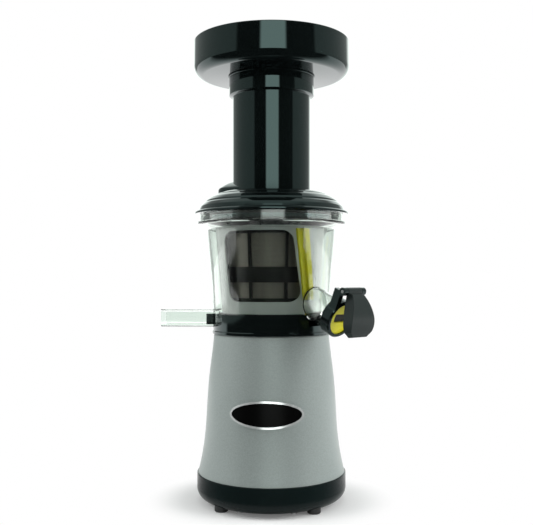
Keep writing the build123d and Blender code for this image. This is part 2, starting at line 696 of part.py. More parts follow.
def motor_stator():
    """Stack of motor laminations with a ring of winding slots."""
    stack = cyl(STATOR_R, Z_STATOR, Z_STATOR + STATOR_HEIGHT)
    stack -= cyl(STATOR_BORE_R, 0, Z_DECK)
    for k in range(SLOT_COUNT):
        slot = block(SLOT_DEPTH / 2, SLOT_WIDTH / 2, 0, Z_DECK, STATOR_BORE_R + SLOT_LIP + SLOT_DEPTH / 2, 0)
        mouth = block(SLOT_LIP, SLOT_MOUTH / 2, 0, Z_DECK, STATOR_BORE_R + SLOT_LIP / 2, 0)
        stack -= Rot(0, 0, 360 * (k + 0.5) / SLOT_COUNT) * (slot + mouth)
    return stack


def stator_windings():
    """Copper windings: a bar in each slot, joined by an end ring above and below."""
    inner = STATOR_BORE_R + SLOT_LIP + SEAT
    outer = STATOR_BORE_R + SLOT_LIP + SLOT_DEPTH - SEAT
    top = Z_STATOR + STATOR_HEIGHT
    coil = tube(outer, inner, Z_STATOR - WINDING_RISE, Z_STATOR - SEAT)
    coil += tube(outer, inner, top + SEAT, top + WINDING_RISE)
    for k in range(SLOT_COUNT):
        bar = block((outer - inner) / 2, SLOT_WIDTH / 2 - SEAT, Z_STATOR - 1, top + 1, (outer + inner) / 2, 0)
        coil += Rot(0, 0, 360 * (k + 0.5) / SLOT_COUNT) * bar
    return coil


def motor_rotor():
    """Rotor laminations with an end ring at each end."""
    return tube(STATOR_BORE_R - AIR_GAP, MOTOR_SHAFT_R, Z_STATOR, Z_STATOR + STATOR_HEIGHT)


def motor_fan():
    """Cooling fan pressed on the shaft below the windings."""
    bottom = BRACKET_Z + BRACKET_PLATE + FACE
    top = bottom + FAN_HEIGHT
    fan = tube(FAN_HUB_R, MOTOR_SHAFT_R, bottom, top) + tube(FAN_R, FAN_HUB_R - 1, bottom, bottom + FAN_PLATE)
    reach = FAN_R - FAN_HUB_R + 1
    blade = block(reach / 2, FAN_PLATE / 2, bottom, top, FAN_R - reach / 2, 0)
    for k in range(FAN_BLADES):
        fan += Rot(0, 0, 360 * k / FAN_BLADES) * blade
    return fan


def motor_shaft():
    """Motor shaft with the first pinion cut on its upper end."""
    bottom = BRACKET_Z - BEARING_HEIGHT + BRACKET_PLATE + 0.5
    shaft = cyl(MOTOR_SHAFT_R, bottom, Z_STAGE_1 - 1)
    neck_r = GEAR_MODULE * (PINION_TEETH / 2 - DEDENDUM)
    shaft += cyl(neck_r, Z_STAGE_1 - 2, Z_STAGE_1 + 1)
    teeth = gear(PINION_TEETH, GEAR_MODULE, PINION_ADDENDUM, GEAR_BACKLASH, Z_STAGE_1, PINION_FACE)
    return shaft + teeth


def motor_bushings():
    """The motor's two plain bearings."""
    low = BRACKET_Z - BEARING_HEIGHT + BRACKET_PLATE
    lower = tube(BEARING_R, MOTOR_SHAFT_R + RUN, low, low + BEARING_HEIGHT - 0.5)
    high = Z_CASE
    upper = tube(BEARING_R, MOTOR_SHAFT_R + RUN, high, high + BEARING_HEIGHT - 1.5)
    return group([lower, upper])


# ---------------------------------------------------------------- gearbox
def counter_place():
    """x and y of the countershaft, behind the drive axis."""
    return 0.0, GEAR_CENTRES


def case_outline(grow):
    """Plan of the gearbox: a round pocket for each wheel, side by side front to back."""
    wheel_r = GEAR_MODULE * (WHEEL_TEETH / 2 + 1) + FREE
    return Circle(wheel_r + grow) + Pos(*counter_place()) * Circle(wheel_r + grow)


def gearbox_case():
    """Aluminium gear case that also closes the top of the motor."""
    case = extrude(Pos(0, 0, Z_CASE) * case_outline(CASE_WALL), CASE_TOP_Z - Z_CASE)
    case -= extrude(Pos(0, 0, Z_CASE_FLOOR) * case_outline(0), CASE_TOP_Z - Z_CASE)
    case += cyl(STATOR_R, Z_CASE, Z_CASE_FLOOR)
    case += cyl(BEARING_R + CASE_WALL, Z_CASE, Z_CASE + BEARING_HEIGHT)
    case += motor_pillars(Z_STATOR + STATOR_HEIGHT, Z_CASE_FLOOR)
    case += union(cyl(CASE_BOSS_R, Z_CASE, CASE_TOP_Z, x, y) for x, y in case_screw_places())
    case -= cyl(BEARING_R, Z_CASE - 1, CASE_TOP_Z)
    case -= cyl(COUNTER_PIN_R, Z_CASE - 1, Z_CASE_FLOOR + 1, *counter_place())
    for x, y in case_screw_places():
        case -= cyl(SCREW_R + SEAT, CASE_TOP_Z - CASE_SCREW_DEPTH, CASE_TOP_Z + 1, x, y)
    return case


def case_screw_places():
    """Where four screws hold the gearbox cover, clear of both wheels."""
    wheel_r = GEAR_MODULE * (WHEEL_TEETH / 2 + 1) + FREE + CASE_WALL + 1
    low = wheel_r / sqrt(2)
    return [(sx * low, y) for sx in (-1, 1) for y in (-low, GEAR_CENTRES + low)]


def gearbox_cover():
    """Cover plate with the turret that carries the drive shaft's bushings."""
    cover = extrude(Pos(0, 0, CASE_TOP_Z) * case_outline(CASE_WALL), COVER_PLATE)
    top = CASE_TOP_Z + COVER_PLATE
    cover += union(cyl(CASE_BOSS_R, CASE_TOP_Z, top, x, y) for x, y in case_screw_places())
    cover += cyl(TURRET_R, CASE_TOP_Z, Z_DECK)
    cover -= cyl(BUSH_R, CASE_TOP_Z - 1, Z_DECK + 1)
    cover -= cyl(COUNTER_PIN_R, CASE_TOP_Z - 1, CASE_TOP_Z + 2, *counter_place())
    for x, y in case_screw_places():
        cover -= cyl(SCREW_R + SEAT, CASE_TOP_Z - 1, Z_DECK, x, y)
    return cover


def gearbox_screws():
    """Four screws that hold the gearbox cover."""
    top = CASE_TOP_Z + COVER_PLATE
    screw = cyl(SCREW_R, top - CASE_SCREW_LENGTH, top) + cyl(SCREW_HEAD_R, top, top + SCREW_HEAD)
    return group(Pos(x, y, 0) * screw for x, y in case_screw_places())


def counter_pin():
    """Fixed steel pin that the countershaft gear turns on."""
    return cyl(COUNTER_PIN_R, Z_CASE, CASE_TOP_Z + 2, *counter_place())


def counter_gear():
    """Countershaft cluster: a wheel driven by the motor pinion and a pinion above it."""
    low, high = Z_STAGE_1 + 0.5, Z_STAGE_2
    wheel = gear(WHEEL_TEETH, GEAR_MODULE, GEAR_ADDENDUM, GEAR_BACKLASH, low, WHEEL_FACE)
    wheel = Rot(0, 0, mesh_phase(90, PINION_TEETH, 0, WHEEL_TEETH)) * wheel
    pinion = gear(PINION_TEETH, GEAR_MODULE, PINION_ADDENDUM, GEAR_BACKLASH, low + WHEEL_FACE - 0.5,
                  high + PINION_FACE - low - WHEEL_FACE + 0.5)
    cluster = wheel + pinion - cyl(COUNTER_PIN_R + RUN, 0, Z_DECK)
    return Pos(*counter_place(), 0) * cluster


def output_gear():
    """Large wheel on the drive shaft, driven by the countershaft pinion."""
    low = Z_STAGE_2 + (PINION_FACE - WHEEL_FACE) / 2
    wheel = gear(WHEEL_TEETH, GEAR_MODULE, GEAR_ADDENDUM, GEAR_BACKLASH, low, WHEEL_FACE)
    turn = mesh_phase(-90, PINION_TEETH, 0, WHEEL_TEETH)
    return Rot(0, 0, turn) * wheel - cyl(DRIVE_SHAFT_R, 0, Z_DECK)


def drive_shaft():
    """Output shaft: round in its bushings, hexagonal where the auger sits on it."""
    low = Z_STAGE_2 + (PINION_FACE - WHEEL_FACE) / 2
    shaft = cyl(DRIVE_SHAFT_R, low, Z_FLOOR)
    hexagon = RegularPolygon(HEX_SHAFT_ACROSS / 2, 6, major_radius=False)
    shaft += Pos(0, 0, Z_FLOOR) * extrude(hexagon, HEX_TOP_Z - Z_FLOOR)
    return shaft


def drive_bushings():
    """Two bushings in the turret."""
    lower = tube(BUSH_R, DRIVE_SHAFT_R + RUN, CASE_TOP_Z, CASE_TOP_Z + BUSH_HEIGHT)
    upper = tube(BUSH_R, DRIVE_SHAFT_R + RUN, Z_DECK - BUSH_HEIGHT, Z_DECK)
    return group([lower, upper])


def control_board():
    """Circuit board on two standoffs, with a relay and a terminal block."""
    low = Z_PLATE + BOARD_RISE
    top = low + BOARD_THICKNESS
    board = block(BOARD_HALF_X, BOARD_HALF_Y, low, top, 0, BOARD_Y)
    for side, half_y, height in ((-1, RELAY_HALF_Y, RELAY_HEIGHT), (1, TERMINAL_HALF_Y, TERMINAL_HEIGHT)):
        board += block(RELAY_HALF_X, half_y, top, top + height, side * BOARD_HALF_X / 2, BOARD_Y)
        board += cyl(STANDOFF_R, Z_PLATE, low, side * STANDOFF_X, BOARD_Y)
    return board


def run_capacitor():
    """Motor run capacitor, strapped upright in front of the motor, with two terminals."""
    top = Z_PLATE + CAPACITOR_HEIGHT
    can = cyl(CAPACITOR_R, Z_PLATE, top, 0, -CAPACITOR_Y)
    can = fillet(can.edges().sort_by(Axis.Z)[-1], CAPACITOR_ROUND)
    for side in (-1, 1):
        can += cyl(TERMINAL_R, top - 1, top + TERMINAL_RISE, side * TERMINAL_X, -CAPACITOR_Y)
    return can


# ---------------------------------------------------------------- bowl base and bowl
def pulp_plane():
    """Frame of the pulp outlet: origin on the collar's face, Z along the tube, Y up the face."""
    angle, slope = radians(PULP_ANGLE), radians(PULP_SLOPE)
    drop = (PULP_FACE_R - PULP_ROOT_R) * tan(slope)
    outward = (sin(angle), -cos(angle))
    return Plane(
        origin=(outward[0] * PULP_FACE_R, outward[1] * PULP_FACE_R, PULP_ROOT_Z - drop),
        x_dir=(cos(angle), sin(angle), 0),
        z_dir=(outward[0] * cos(slope), outward[1] * cos(slope), -sin(slope)),
    )


def along_pulp(radius, near, far):
    """A cylinder on the pulp tube's axis, between two distances from the collar's face."""
    solid = Cylinder(radius, far - near, align=(Align.CENTER, Align.CENTER, Align.MIN))
    return pulp_plane() * Pos(0, 0, near) * solid


def wall_curve(inset):
    """The bowl wall's curve above the base ring, as an edge in (radius, height)."""
    return Spline(*[(radius - inset, Z_RING_TOP + share * BOWL_HEIGHT) for share, radius in BOWL_WALL_POINTS])


def bowl_section(points_before, inset, points_after):
    """A closed outline made of the bowl wall's curve and straight lines round it."""
    curve = wall_curve(inset)
    lines = Polyline(curve @ 1, *points_after, *points_before, curve @ 0)
    return revolve(Plane.XZ * make_face(Curve() + [curve, lines]), Axis.Z)


def bowl_form(inset):
    """Solid form of the bowl's inside or outside, from the base ring to the flare."""
    return bowl_section([(0, Z_RING_TOP)], inset, [(0, Z_RING_TOP + BOWL_SHOULDER * BOWL_HEIGHT)])


def juicing_bowl():
    """Clear bowl that flares to a rim with a flange, and lugs inside the rim for the lid."""
    shoulder = Z_RING_TOP + BOWL_SHOULDER * BOWL_HEIGHT
    wall_top_r = BOWL_WALL_POINTS[-1][1]
    outer = bowl_form(0) + spun([
        (0, shoulder), (wall_top_r, shoulder), (RIM_R - 1, Z_RIM - RIM_FLANGE),
        (RIM_FLANGE_R - 1, Z_RIM - RIM_FLANGE), (RIM_FLANGE_R, Z_RIM - RIM_FLANGE + 1),
        (RIM_FLANGE_R, Z_RIM), (RIM_R, Z_RIM), (RIM_R, Z_BOWL_TOP),
        (0, Z_BOWL_TOP)])
    inner_r = wall_top_r - BOWL_WALL
    inner = bowl_form(BOWL_WALL) + spun([
        (0, shoulder), (inner_r, shoulder), (inner_r, shoulder + 1), (RIM_R - BOWL_WALL, Z_RIM - 0.5),
        (RIM_R - BOWL_WALL, Z_BOWL_TOP + 1), (0, Z_BOWL_TOP + 1)])
    bowl = outer - inner + tube(BOWL_LAP_R, BOWL_INNER_R, Z_RING_TOP - BOWL_LAP, Z_RING_TOP)
    for k in range(RIM_LUGS):
        sector = rim_lug(RIM_R - BOWL_WALL + 0.3, LUG_INNER_R, LUG_Z, LUG_Z + LUG_HEIGHT)
        bowl += from_front(360 * (k + 0.5) / RIM_LUGS) * sector
    return bowl - spout_room(SEAT)


def rim_lug(outer_r, inner_r, bottom, top):
    """A short piece of a ring, centred on the front."""
    return tube(outer_r, inner_r, bottom, top) & block(LUG_HALF, outer_r, bottom, top, 0, -outer_r)


def spout_room(grow):
    """The block that the juice spout fills, out to the left."""
    reach = SPOUT_REACH / 2
    low, high = SPOUT_BOTTOM_Z - grow, SPOUT_BOTTOM_Z + SPOUT_HEIGHT + grow
    return block(reach, SPOUT_HALF_Y + grow, low, high, -reach, 0)


def juice_spout():
    """Clear rectangular spout that runs out to the left from the bowl's wall."""
    length = SPOUT_REACH - BOWL_INNER_R + SPOUT_WALL
    low, high = SPOUT_BOTTOM_Z, SPOUT_BOTTOM_Z + SPOUT_HEIGHT
    outer = block(length / 2, SPOUT_HALF_Y, low, high, length / 2 - SPOUT_REACH, 0)
    outer = fillet(outer.edges().filter_by(Axis.X), SPOUT_ROUND)
    bore = block(length, SPOUT_HALF_Y - SPOUT_WALL, low + SPOUT_WALL, high - SPOUT_WALL, -SPOUT_REACH, 0)
    return outer - bore - cyl(BOWL_INNER_R, 0, Z_RIM)


def bowl_base():
    """Glossy black bottom of the bowl: rim, floor and the turret that carries the idler gears."""
    base = spun([(0, Z_DECK), (RING_FLANGE_R, Z_DECK), (RING_FLANGE_R, Z_DECK + RING_FLANGE - 0.6),
                 (RING_R, Z_DECK + RING_FLANGE), (RING_R, Z_RING_TOP), (0, Z_RING_TOP)])
    base -= cyl(BOWL_INNER_R, Z_FLOOR, Z_RING_TOP + 1)
    base -= cyl(BOWL_LAP_R + SEAT, Z_RING_TOP - BOWL_LAP, Z_RING_TOP + 1)
    base -= cyl(COLLAR_R + 4, Z_DECK - 1, Z_FLOOR - BOWL_FLOOR)
    base += cyl(SUMP_R, Z_FLOOR - 1, SUMP_TOP_Z)
    base -= cyl(SEAL_R, Z_FLOOR, SUMP_TOP_Z + 1)
    base -= cyl(HUB_BORE_R, Z_DECK, Z_FLOOR + 1)
    walls = pulp_passage(TUNNEL_WALL) & tube(BOWL_INNER_R + 0.5, SUMP_R - 0.5, Z_FLOOR - 1, SUMP_TOP_Z)
    base += walls
    base -= pulp_passage(0)
    base -= pulp_port(PULP_PORT_HALF, Z_FLOOR, SUMP_TOP_Z + 1)
    base -= pulp_port(PULP_PORT_HALF + PORT_WALL + SEAT, SUMP_TOP_Z - PORT_SEAT, SUMP_TOP_Z + 1)
    for x, y in idler_places():
        base -= cyl(IDLER_PIN_R, SUMP_TOP_Z - 6, SUMP_TOP_Z + 1, x, y)
    base -= spout_room(SEAT) - cyl(BOWL_INNER_R, 0, Z_RIM)
    base += juice_gate()
    return base - along_pulp(PULP_TUBE_R + SEAT, -30, 0) + bowl_floor_patch()


def juice_gate():
    """Inverted trough that leads the juice out through the rim into the spout."""
    half, low, high = SPOUT_HALF_Y - SPOUT_WALL - SEAT, SPOUT_BOTTOM_Z + SPOUT_WALL, Z_RING_TOP
    gate = block(GATE_LENGTH / 2, half, low, high, GATE_LENGTH / 2 - GATE_REACH, 0)
    return gate - block(GATE_LENGTH, half - GATE_WALL, low - 1, high - GATE_WALL, -GATE_REACH, 0)


def bowl_floor_patch():
    """Wall between the juice channel and the pulp tube, where the tube meets the rim."""
    shell = tube(BOWL_INNER_R + 1.0, BOWL_INNER_R - 0.8, Z_FLOOR - 1, Z_RING_TOP - BOWL_LAP)
    return (shell & along_pulp(PULP_TUBE_R + 1, -34, 0)) - pulp_passage(0)


def pulp_port(half_width, bottom, top):
    """Kidney-shaped column through which the pulp drops, on the pulp outlet's side."""
    arc = CenterArc((0, 0), IDLER_PLACE_R, PULP_ANGLE - 90 - PULP_PORT_SPREAD, 2 * PULP_PORT_SPREAD)
    return Pos(0, 0, bottom) * extrude(SlotArc(arc, 2 * half_width), top - bottom)


def pulp_passage(grow):
    """The straight passage from the pulp port out to the bowl's rim."""
    run = RING_R + 1 - IDLER_PLACE_R
    low, high = Z_FLOOR - grow / 4, TUNNEL_TOP_Z + grow
    passage = block(run / 2, TUNNEL_HALF + grow, low, high, IDLER_PLACE_R + run / 2, 0)
    return Rot(0, 0, PULP_ANGLE - 90) * passage


def shaft_seal():
    """Silicone ring in the turret that seals round the drive shaft."""
    seal = tube(SEAL_R - SEAT, HUB_BORE_R + 0.4, Z_FLOOR, Z_FLOOR + SEAL_HEIGHT)
    return seal - cone(HUB_BORE_R + 0.4, HUB_BORE_R + 3, Z_FLOOR + 2, Z_FLOOR + SEAL_HEIGHT + 0.01)


# ---------------------------------------------------------------- pulp outlet
def pulp_outlet():
    """Clear tube that slopes down from the bowl's wall to the collar."""
    pipe = along_pulp(PULP_TUBE_R, -PULP_TUBE_LENGTH, -SEAL_SEAT - SEAL_DEPTH)
    pipe -= along_pulp(PULP_TUBE_R - PULP_TUBE_WALL, -2 * PULP_TUBE_LENGTH, 1)
    inside = bowl_form(-SEAT) + cyl(RING_R + SEAT, 0, Z_RING_TOP)
    inside += cyl(RING_FLANGE_R + SEAT, 0, Z_DECK + RING_FLANGE)
    behind = Rot(0, 0, PULP_ANGLE) * block(3 * RING_R, 1.5 * RING_R, 0, Z_TOP, 0, 1.5 * RING_R)
    return pipe - inside - behind


def pulp_collar():
    """Black collar on the tube's end, with two ears for the flap's pin."""
    ring = along_pulp(CAP_R, -CAP_DEPTH, 0)
    ring = chamfer(ring.edges().filter_by(GeomType.CIRCLE), 0.8)
    for side in (-1, 1):
        x = side * (KNUCKLE_HALF - KNUCKLE_WIDTH / 2)
        ear = Box(KNUCKLE_WIDTH, HINGE_RISE - EAR_FOOT, EAR_DEPTH, align=(Align.CENTER, Align.MIN, Align.MAX))
        ring += pulp_plane() * (Pos(x, EAR_FOOT, 0) * ear + hinge_barrel(KNUCKLE_R, KNUCKLE_WIDTH, x))
    ring -= along_pulp(PULP_TUBE_R + SEAT, -2 * CAP_DEPTH, -SEAL_SEAT)
    ring -= along_pulp(CAP_BORE_R, -SEAL_SEAT - 1, CAP_DEPTH)
    return ring - pulp_plane() * hinge_barrel(HINGE_PIN_R, 3 * KNUCKLE_HALF, 0)


def hinge_barrel(radius, length, x):
    """A cylinder on the flap's hinge axis, in the pulp outlet's frame."""
    return Pos(x, HINGE_RISE, HINGE_LIFT) * Cylinder(radius, length, rotation=(0, 90, 0))


def pulp_seal():
    """Yellow silicone diaphragm with a slot, held between the tube's end and the collar."""
    seal = along_pulp(PULP_TUBE_R - SEAT, -SEAL_SEAT - SEAL_DEPTH, -SEAL_SEAT)
    slot = Box(2 * SEAL_SLOT_HALF_X, 2 * SEAL_SLOT_HALF_Y, 4 * SEAL_DEPTH)
    dish = along_pulp(CAP_BORE_R - 1.5, -SEAL_SEAT - 1, 0)
    return seal - dish - pulp_plane() * Pos(0, 0, -SEAL_SEAT) * slot


def flap_pin():
    """Steel pin through the ears and the flap's knuckle."""
    return pulp_plane() * hinge_barrel(HINGE_PIN_R, 2 * KNUCKLE_HALF, 0)


def flap_frame():
    """Frame on the hinge axis that turns from the closed flap to its rest position."""
    return pulp_plane() * Pos(0, HINGE_RISE, HINGE_LIFT) * Rot(-FLAP_OPEN, 0, 0)


def pulp_flap():
    """Dark domed flap with a rim that closes over the collar, shown hanging open."""
    back = FACE - HINGE_LIFT
    flap = flap_form(0, 0, back) - flap_form(FLAP_RIM, FLAP_THICKNESS, back - 1)
    neck_y, neck_half = FLAP_HALF_WIDTHS[0]
    flap += Pos(0, 0, back) * Box(2 * neck_half, FLAP_ARM, FLAP_ARM - FLAP_THICKNESS, align=(
        Align.CENTER, Align.MAX, Align.MIN))
    arm_half = KNUCKLE_HALF - KNUCKLE_WIDTH - FLAP_PLAY
    flap += Cylinder(KNUCKLE_R, 2 * arm_half, rotation=(0, 90, 0))
    flap -= Cylinder(HINGE_PIN_R + RUN, 4 * KNUCKLE_HALF, rotation=(0, 90, 0))
    return flap_frame() * flap


def flap_form(inset, depth, back):
    """Solid under the flap's dome, in the hinge's frame: shrunk all round, and below the dome's top."""
    top = FLAP_HALF_WIDTHS[0][0] + inset
    below = [top] + [place for place, _ in FLAP_HALF_WIDTHS[1:]]
    right = [(half - inset, -place) for place, (_, half) in zip(below, FLAP_HALF_WIDTHS)]
    left = [(-x, y) for x, y in reversed(right)]
    corner, low = FLAP_BOTTOM_HALF - inset / 2, inset - FLAP_LENGTH
    side, mirrored = Spline(*right), Spline(*left)
    bottom = Polyline(right[-1], (corner, low), (-corner, low), left[0])
    outline = make_face(Curve() + [side, bottom, mirrored, Line(left[-1], right[0])])
    form = Pos(0, 0, back) * extrude(outline, 2 * FLAP_CROWN)
    middle = Pos(0, -FLAP_CROWN_DROP, FLAP_CROWN - FLAP_DOME_R)
    return form & middle * Cylinder(FLAP_DOME_R - depth, 4 * FLAP_LENGTH, rotation=(0, 90, 0))


# ---------------------------------------------------------------- screen and brush
def screen_r(level):
    """Outer radius of the steel screen at a level."""
    share = (level - BASKET_BOTTOM_Z) / (SCREEN_TOP_Z - BASKET_BOTTOM_Z)
    return SCREEN_BOTTOM_R + (SCREEN_TOP_R - SCREEN_BOTTOM_R) * share


def screen_cone(grow, bottom, top):
    """Frustum between two levels that follows the screen's taper."""
    return cone(screen_r(bottom) + grow, screen_r(top) + grow, bottom, top)


def screen_mesh():
    """Thin perforated steel cone."""
    bottom, top = BASKET_BOTTOM_Z + BASKET_FLOOR, SCREEN_TOP_Z - BASKET_RIM
    return screen_cone(0, bottom, top) - screen_cone(-SCREEN_WALL, bottom - 1, top + 1)


def screen_frame():
    """Black basket round the screen: floor with the pulp chute, ribs, middle band and top rim."""
    floor_top = BASKET_BOTTOM_Z + BASKET_FLOOR
    frame = screen_cone(BASKET_WALL, BASKET_BOTTOM_Z, floor_top)
    hoop = screen_cone(BASKET_WALL, floor_top, floor_top + BASKET_WALL)
    frame += hoop - screen_cone(0, floor_top - 1, Z_RIM)
    low, high = BASKET_BAND_Z
    frame += screen_cone(BASKET_WALL, low, high) - screen_cone(0, low - 1, high + 1)
    rim_low = SCREEN_TOP_Z - BASKET_RIM_HEIGHT
    frame += screen_cone(BASKET_WALL, rim_low, SCREEN_TOP_Z) - screen_cone(0, rim_low - 1, SCREEN_TOP_Z + 1)
    frame += cyl(brush_r(SCREEN_TOP_Z) - BRUSH_WALL - FREE, SCREEN_TOP_Z - BASKET_RIM, SCREEN_TOP_Z)
    frame -= screen_cone(-SCREEN_WALL, SCREEN_TOP_Z - BASKET_RIM - 0.01, SCREEN_TOP_Z + 1)
    for k in range(BASKET_RIBS):
        angle = 360 * (k + 0.5) / BASKET_RIBS
        rib = screen_cone(BASKET_WALL, floor_top, SCREEN_TOP_Z - 1)
        rib -= screen_cone(0, floor_top - 1, SCREEN_TOP_Z)
        frame += rib & (from_front(angle) * block(BASKET_RIB_WIDTH / 2, 60, 0, Z_TOP, 0, -60))
    frame += pulp_port(PULP_PORT_HALF + PORT_WALL, SUMP_TOP_Z - PORT_SEAT + SEAT, floor_top)
    frame -= pulp_port(PULP_PORT_HALF, 0, Z_TOP)
    return frame - cyl(AUGER_NECK_R + FREE, 0, floor_top + 1)


def brush_r(level):
    """Outer radius of the brush frame at a level."""
    share = (level - BRUSH_BOTTOM_Z) / (BRUSH_TOP_Z - BRUSH_BOTTOM_Z)
    return BRUSH_BOTTOM_R + (BRUSH_TOP_R - BRUSH_BOTTOM_R) * share


def brush_cone(grow, bottom, top):
    """Frustum between two levels that follows the brush frame's taper."""
    return cone(brush_r(bottom) + grow, brush_r(top) + grow, bottom, top)


def brush_frame():
    """Light grey cage with three windows and an internal ring gear in its foot."""
    frame = brush_cone(0, BRUSH_BOTTOM_Z, BRUSH_TOP_Z)
    frame -= brush_cone(-BRUSH_WALL, BRUSH_BOTTOM_Z - 1, BRUSH_TOP_Z + 1)
    width = 2 * brush_r(Z_RIM) * sin(radians(BRUSH_WINDOW_ANGLE / 2))
    height = BRUSH_WINDOW_TOP_Z - BRUSH_WINDOW_BOTTOM_Z
    middle = (BRUSH_WINDOW_TOP_Z + BRUSH_WINDOW_BOTTOM_Z) / 2
    low_x, high_x = width / 2 + WINDOW_LEAN, width / 2 - WINDOW_LEAN
    corners = [(-high_x, -height / 2), (low_x, -height / 2), (high_x, height / 2), (-low_x, height / 2)]
    outline = make_face(Polyline(*corners, close=True))
    outline = fillet(outline.vertices(), WINDOW_CORNER)
    opening = Rot(90, 0, 0) * extrude(outline, 2 * BRUSH_TOP_R)
    for k in range(BRUSH_WINDOWS):
        frame -= from_front(BRUSH_FIRST_WINDOW + 360 * k / BRUSH_WINDOWS) * Pos(0, 0, middle) * opening
    web = cyl(brush_r(Z_DRIVE) - BRUSH_WALL + 0.3, Z_DRIVE, Z_DRIVE_TOP)
    frame += web - ring_gear_space()
    for k in range(BRUSH_WINDOWS):
        frame -= wiper_slot(k, SEAT)
    return frame


def ring_gear_space():
    """Cutter for the internal ring gear's teeth, in mesh with the first idler."""
    x, y = idler_places()[0]
    direction = degrees(atan2(y, x))
    shift = (idler_phase(0) - direction) / (360 / IDLER_TEETH)
    outline = gear_face(RING_GEAR_TEETH, DRIVE_MODULE, DEDENDUM, -DRIVE_BACKLASH, DRIVE_ADDENDUM)
    cutter = Pos(0, 0, Z_DRIVE - 1) * extrude(outline, DRIVE_FACE + 2)
    return Rot(0, 0, direction + shift * 360 / RING_GEAR_TEETH) * cutter


def wiper_angle(k):
    """Where a wiper stands on the web between two windows."""
    return BRUSH_FIRST_WINDOW + 360 * (k + 0.5) / BRUSH_WINDOWS - WIPER_AHEAD


def wiper_turn(k):
    """The turn that carries a block from the front to a wiper's place, leaning as the wiper does."""
    middle = (BRUSH_WINDOW_BOTTOM_Z + BRUSH_WINDOW_TOP_Z) / 2
    return from_front(wiper_angle(k)) * Pos(0, 0, middle) * Rot(0, -WIPER_LEAN, 0) * Pos(0, 0, -middle)


def wiper_slot(k, grow):
    """The narrow block through a web that the wiper's tongue fills."""
    low, high = BRUSH_WINDOW_BOTTOM_Z + WIPER_SLOT_INSET, BRUSH_WINDOW_TOP_Z - WIPER_SLOT_INSET
    slot = block(WIPER_SLOT / 2 + grow, BRUSH_TOP_R / 2, low - grow, high + grow, 0, -BRUSH_TOP_R)
    return wiper_turn(k) * slot


def wiper_blades():
    """Yellow silicone wipers: a pad outside each web, a lip to the bowl and a tongue to the screen."""
    low, high = BRUSH_WINDOW_BOTTOM_Z + 1.5, BRUSH_WINDOW_TOP_Z + 1.5
    room = bowl_form(BOWL_WALL + SILICONE_NIP)
    pads = brush_cone(WIPER_PAD, low, high) - brush_cone(SEAT, low - 1, high + 1)
    lips = (room & cyl(3 * RING_R, low, high)) - brush_cone(WIPER_PAD - 0.5, low - 1, high + 1)
    inner = BASKET_WALL + SILICONE_NIP
    tongues = brush_cone(WIPER_PAD - 0.5, low, high) - screen_cone(inner, low - 1, SCREEN_TOP_Z)
    blades = []
    for k in WIPER_WEBS:
        turn = wiper_turn(k)
        pad = pads & turn * block(WIPER_WIDTH / 2, 60, 0, Z_TOP, 0, -60)
        lip = lips & turn * block(WIPER_SLOT / 2, 60, 0, Z_TOP, 0, -60)
        tongue = tongues & wiper_slot(k, 0)
        blades.append(pad + lip + tongue)
    return group(blades)


# ---------------------------------------------------------------- brush drive
def idler_places():
    """x and y of the two idler gears, where both mesh with the sun and the ring."""
    spread = IDLER_STEPS * 360 / (SUN_TEETH + RING_GEAR_TEETH)
    return [place(PULP_ANGLE + 180 + side * spread / 2, IDLER_PLACE_R) for side in (-1, 1)]


def mesh_phase(direction, teeth, phase, mate_teeth):
    """Turn of a gear that meshes with a driver of known phase, lying in a direction from it."""
    offset = (phase - direction) / (360 / teeth)
    return direction + 180 + (0.5 - offset) * 360 / mate_teeth


def idler_phase(k):
    """Turn of an idler gear about its own pin at rest."""
    x, y = idler_places()[k]
    return mesh_phase(degrees(atan2(y, x)), SUN_TEETH, 0.0, IDLER_TEETH)


def idler_gear(k):
    """One of the two idler gears that drive the brush from the auger."""
    x, y = idler_places()[k]
    wheel = gear(IDLER_TEETH, DRIVE_MODULE, DRIVE_ADDENDUM, DRIVE_BACKLASH, Z_DRIVE, DRIVE_FACE)
    wheel -= cyl(IDLER_PIN_R + RUN, Z_DRIVE - 1, Z_DRIVE_TOP + 1)
    return Pos(x, y, 0) * Rot(0, 0, idler_phase(k)) * wheel


def idler_pins():
    """Two steel pins in the turret that the idler gears turn on."""
    return group(cyl(IDLER_PIN_R, SUMP_TOP_Z - 6, Z_DRIVE_TOP + 0.6, x, y) for x, y in idler_places())


def auger_gear():
    """Sun gear on the auger's neck."""
    wheel = gear(SUN_TEETH, DRIVE_MODULE, DRIVE_ADDENDUM, DRIVE_BACKLASH, Z_DRIVE, DRIVE_FACE)
    return wheel - cyl(NECK_SPIGOT_R, Z_DRIVE - 1, Z_DRIVE_TOP + 1)


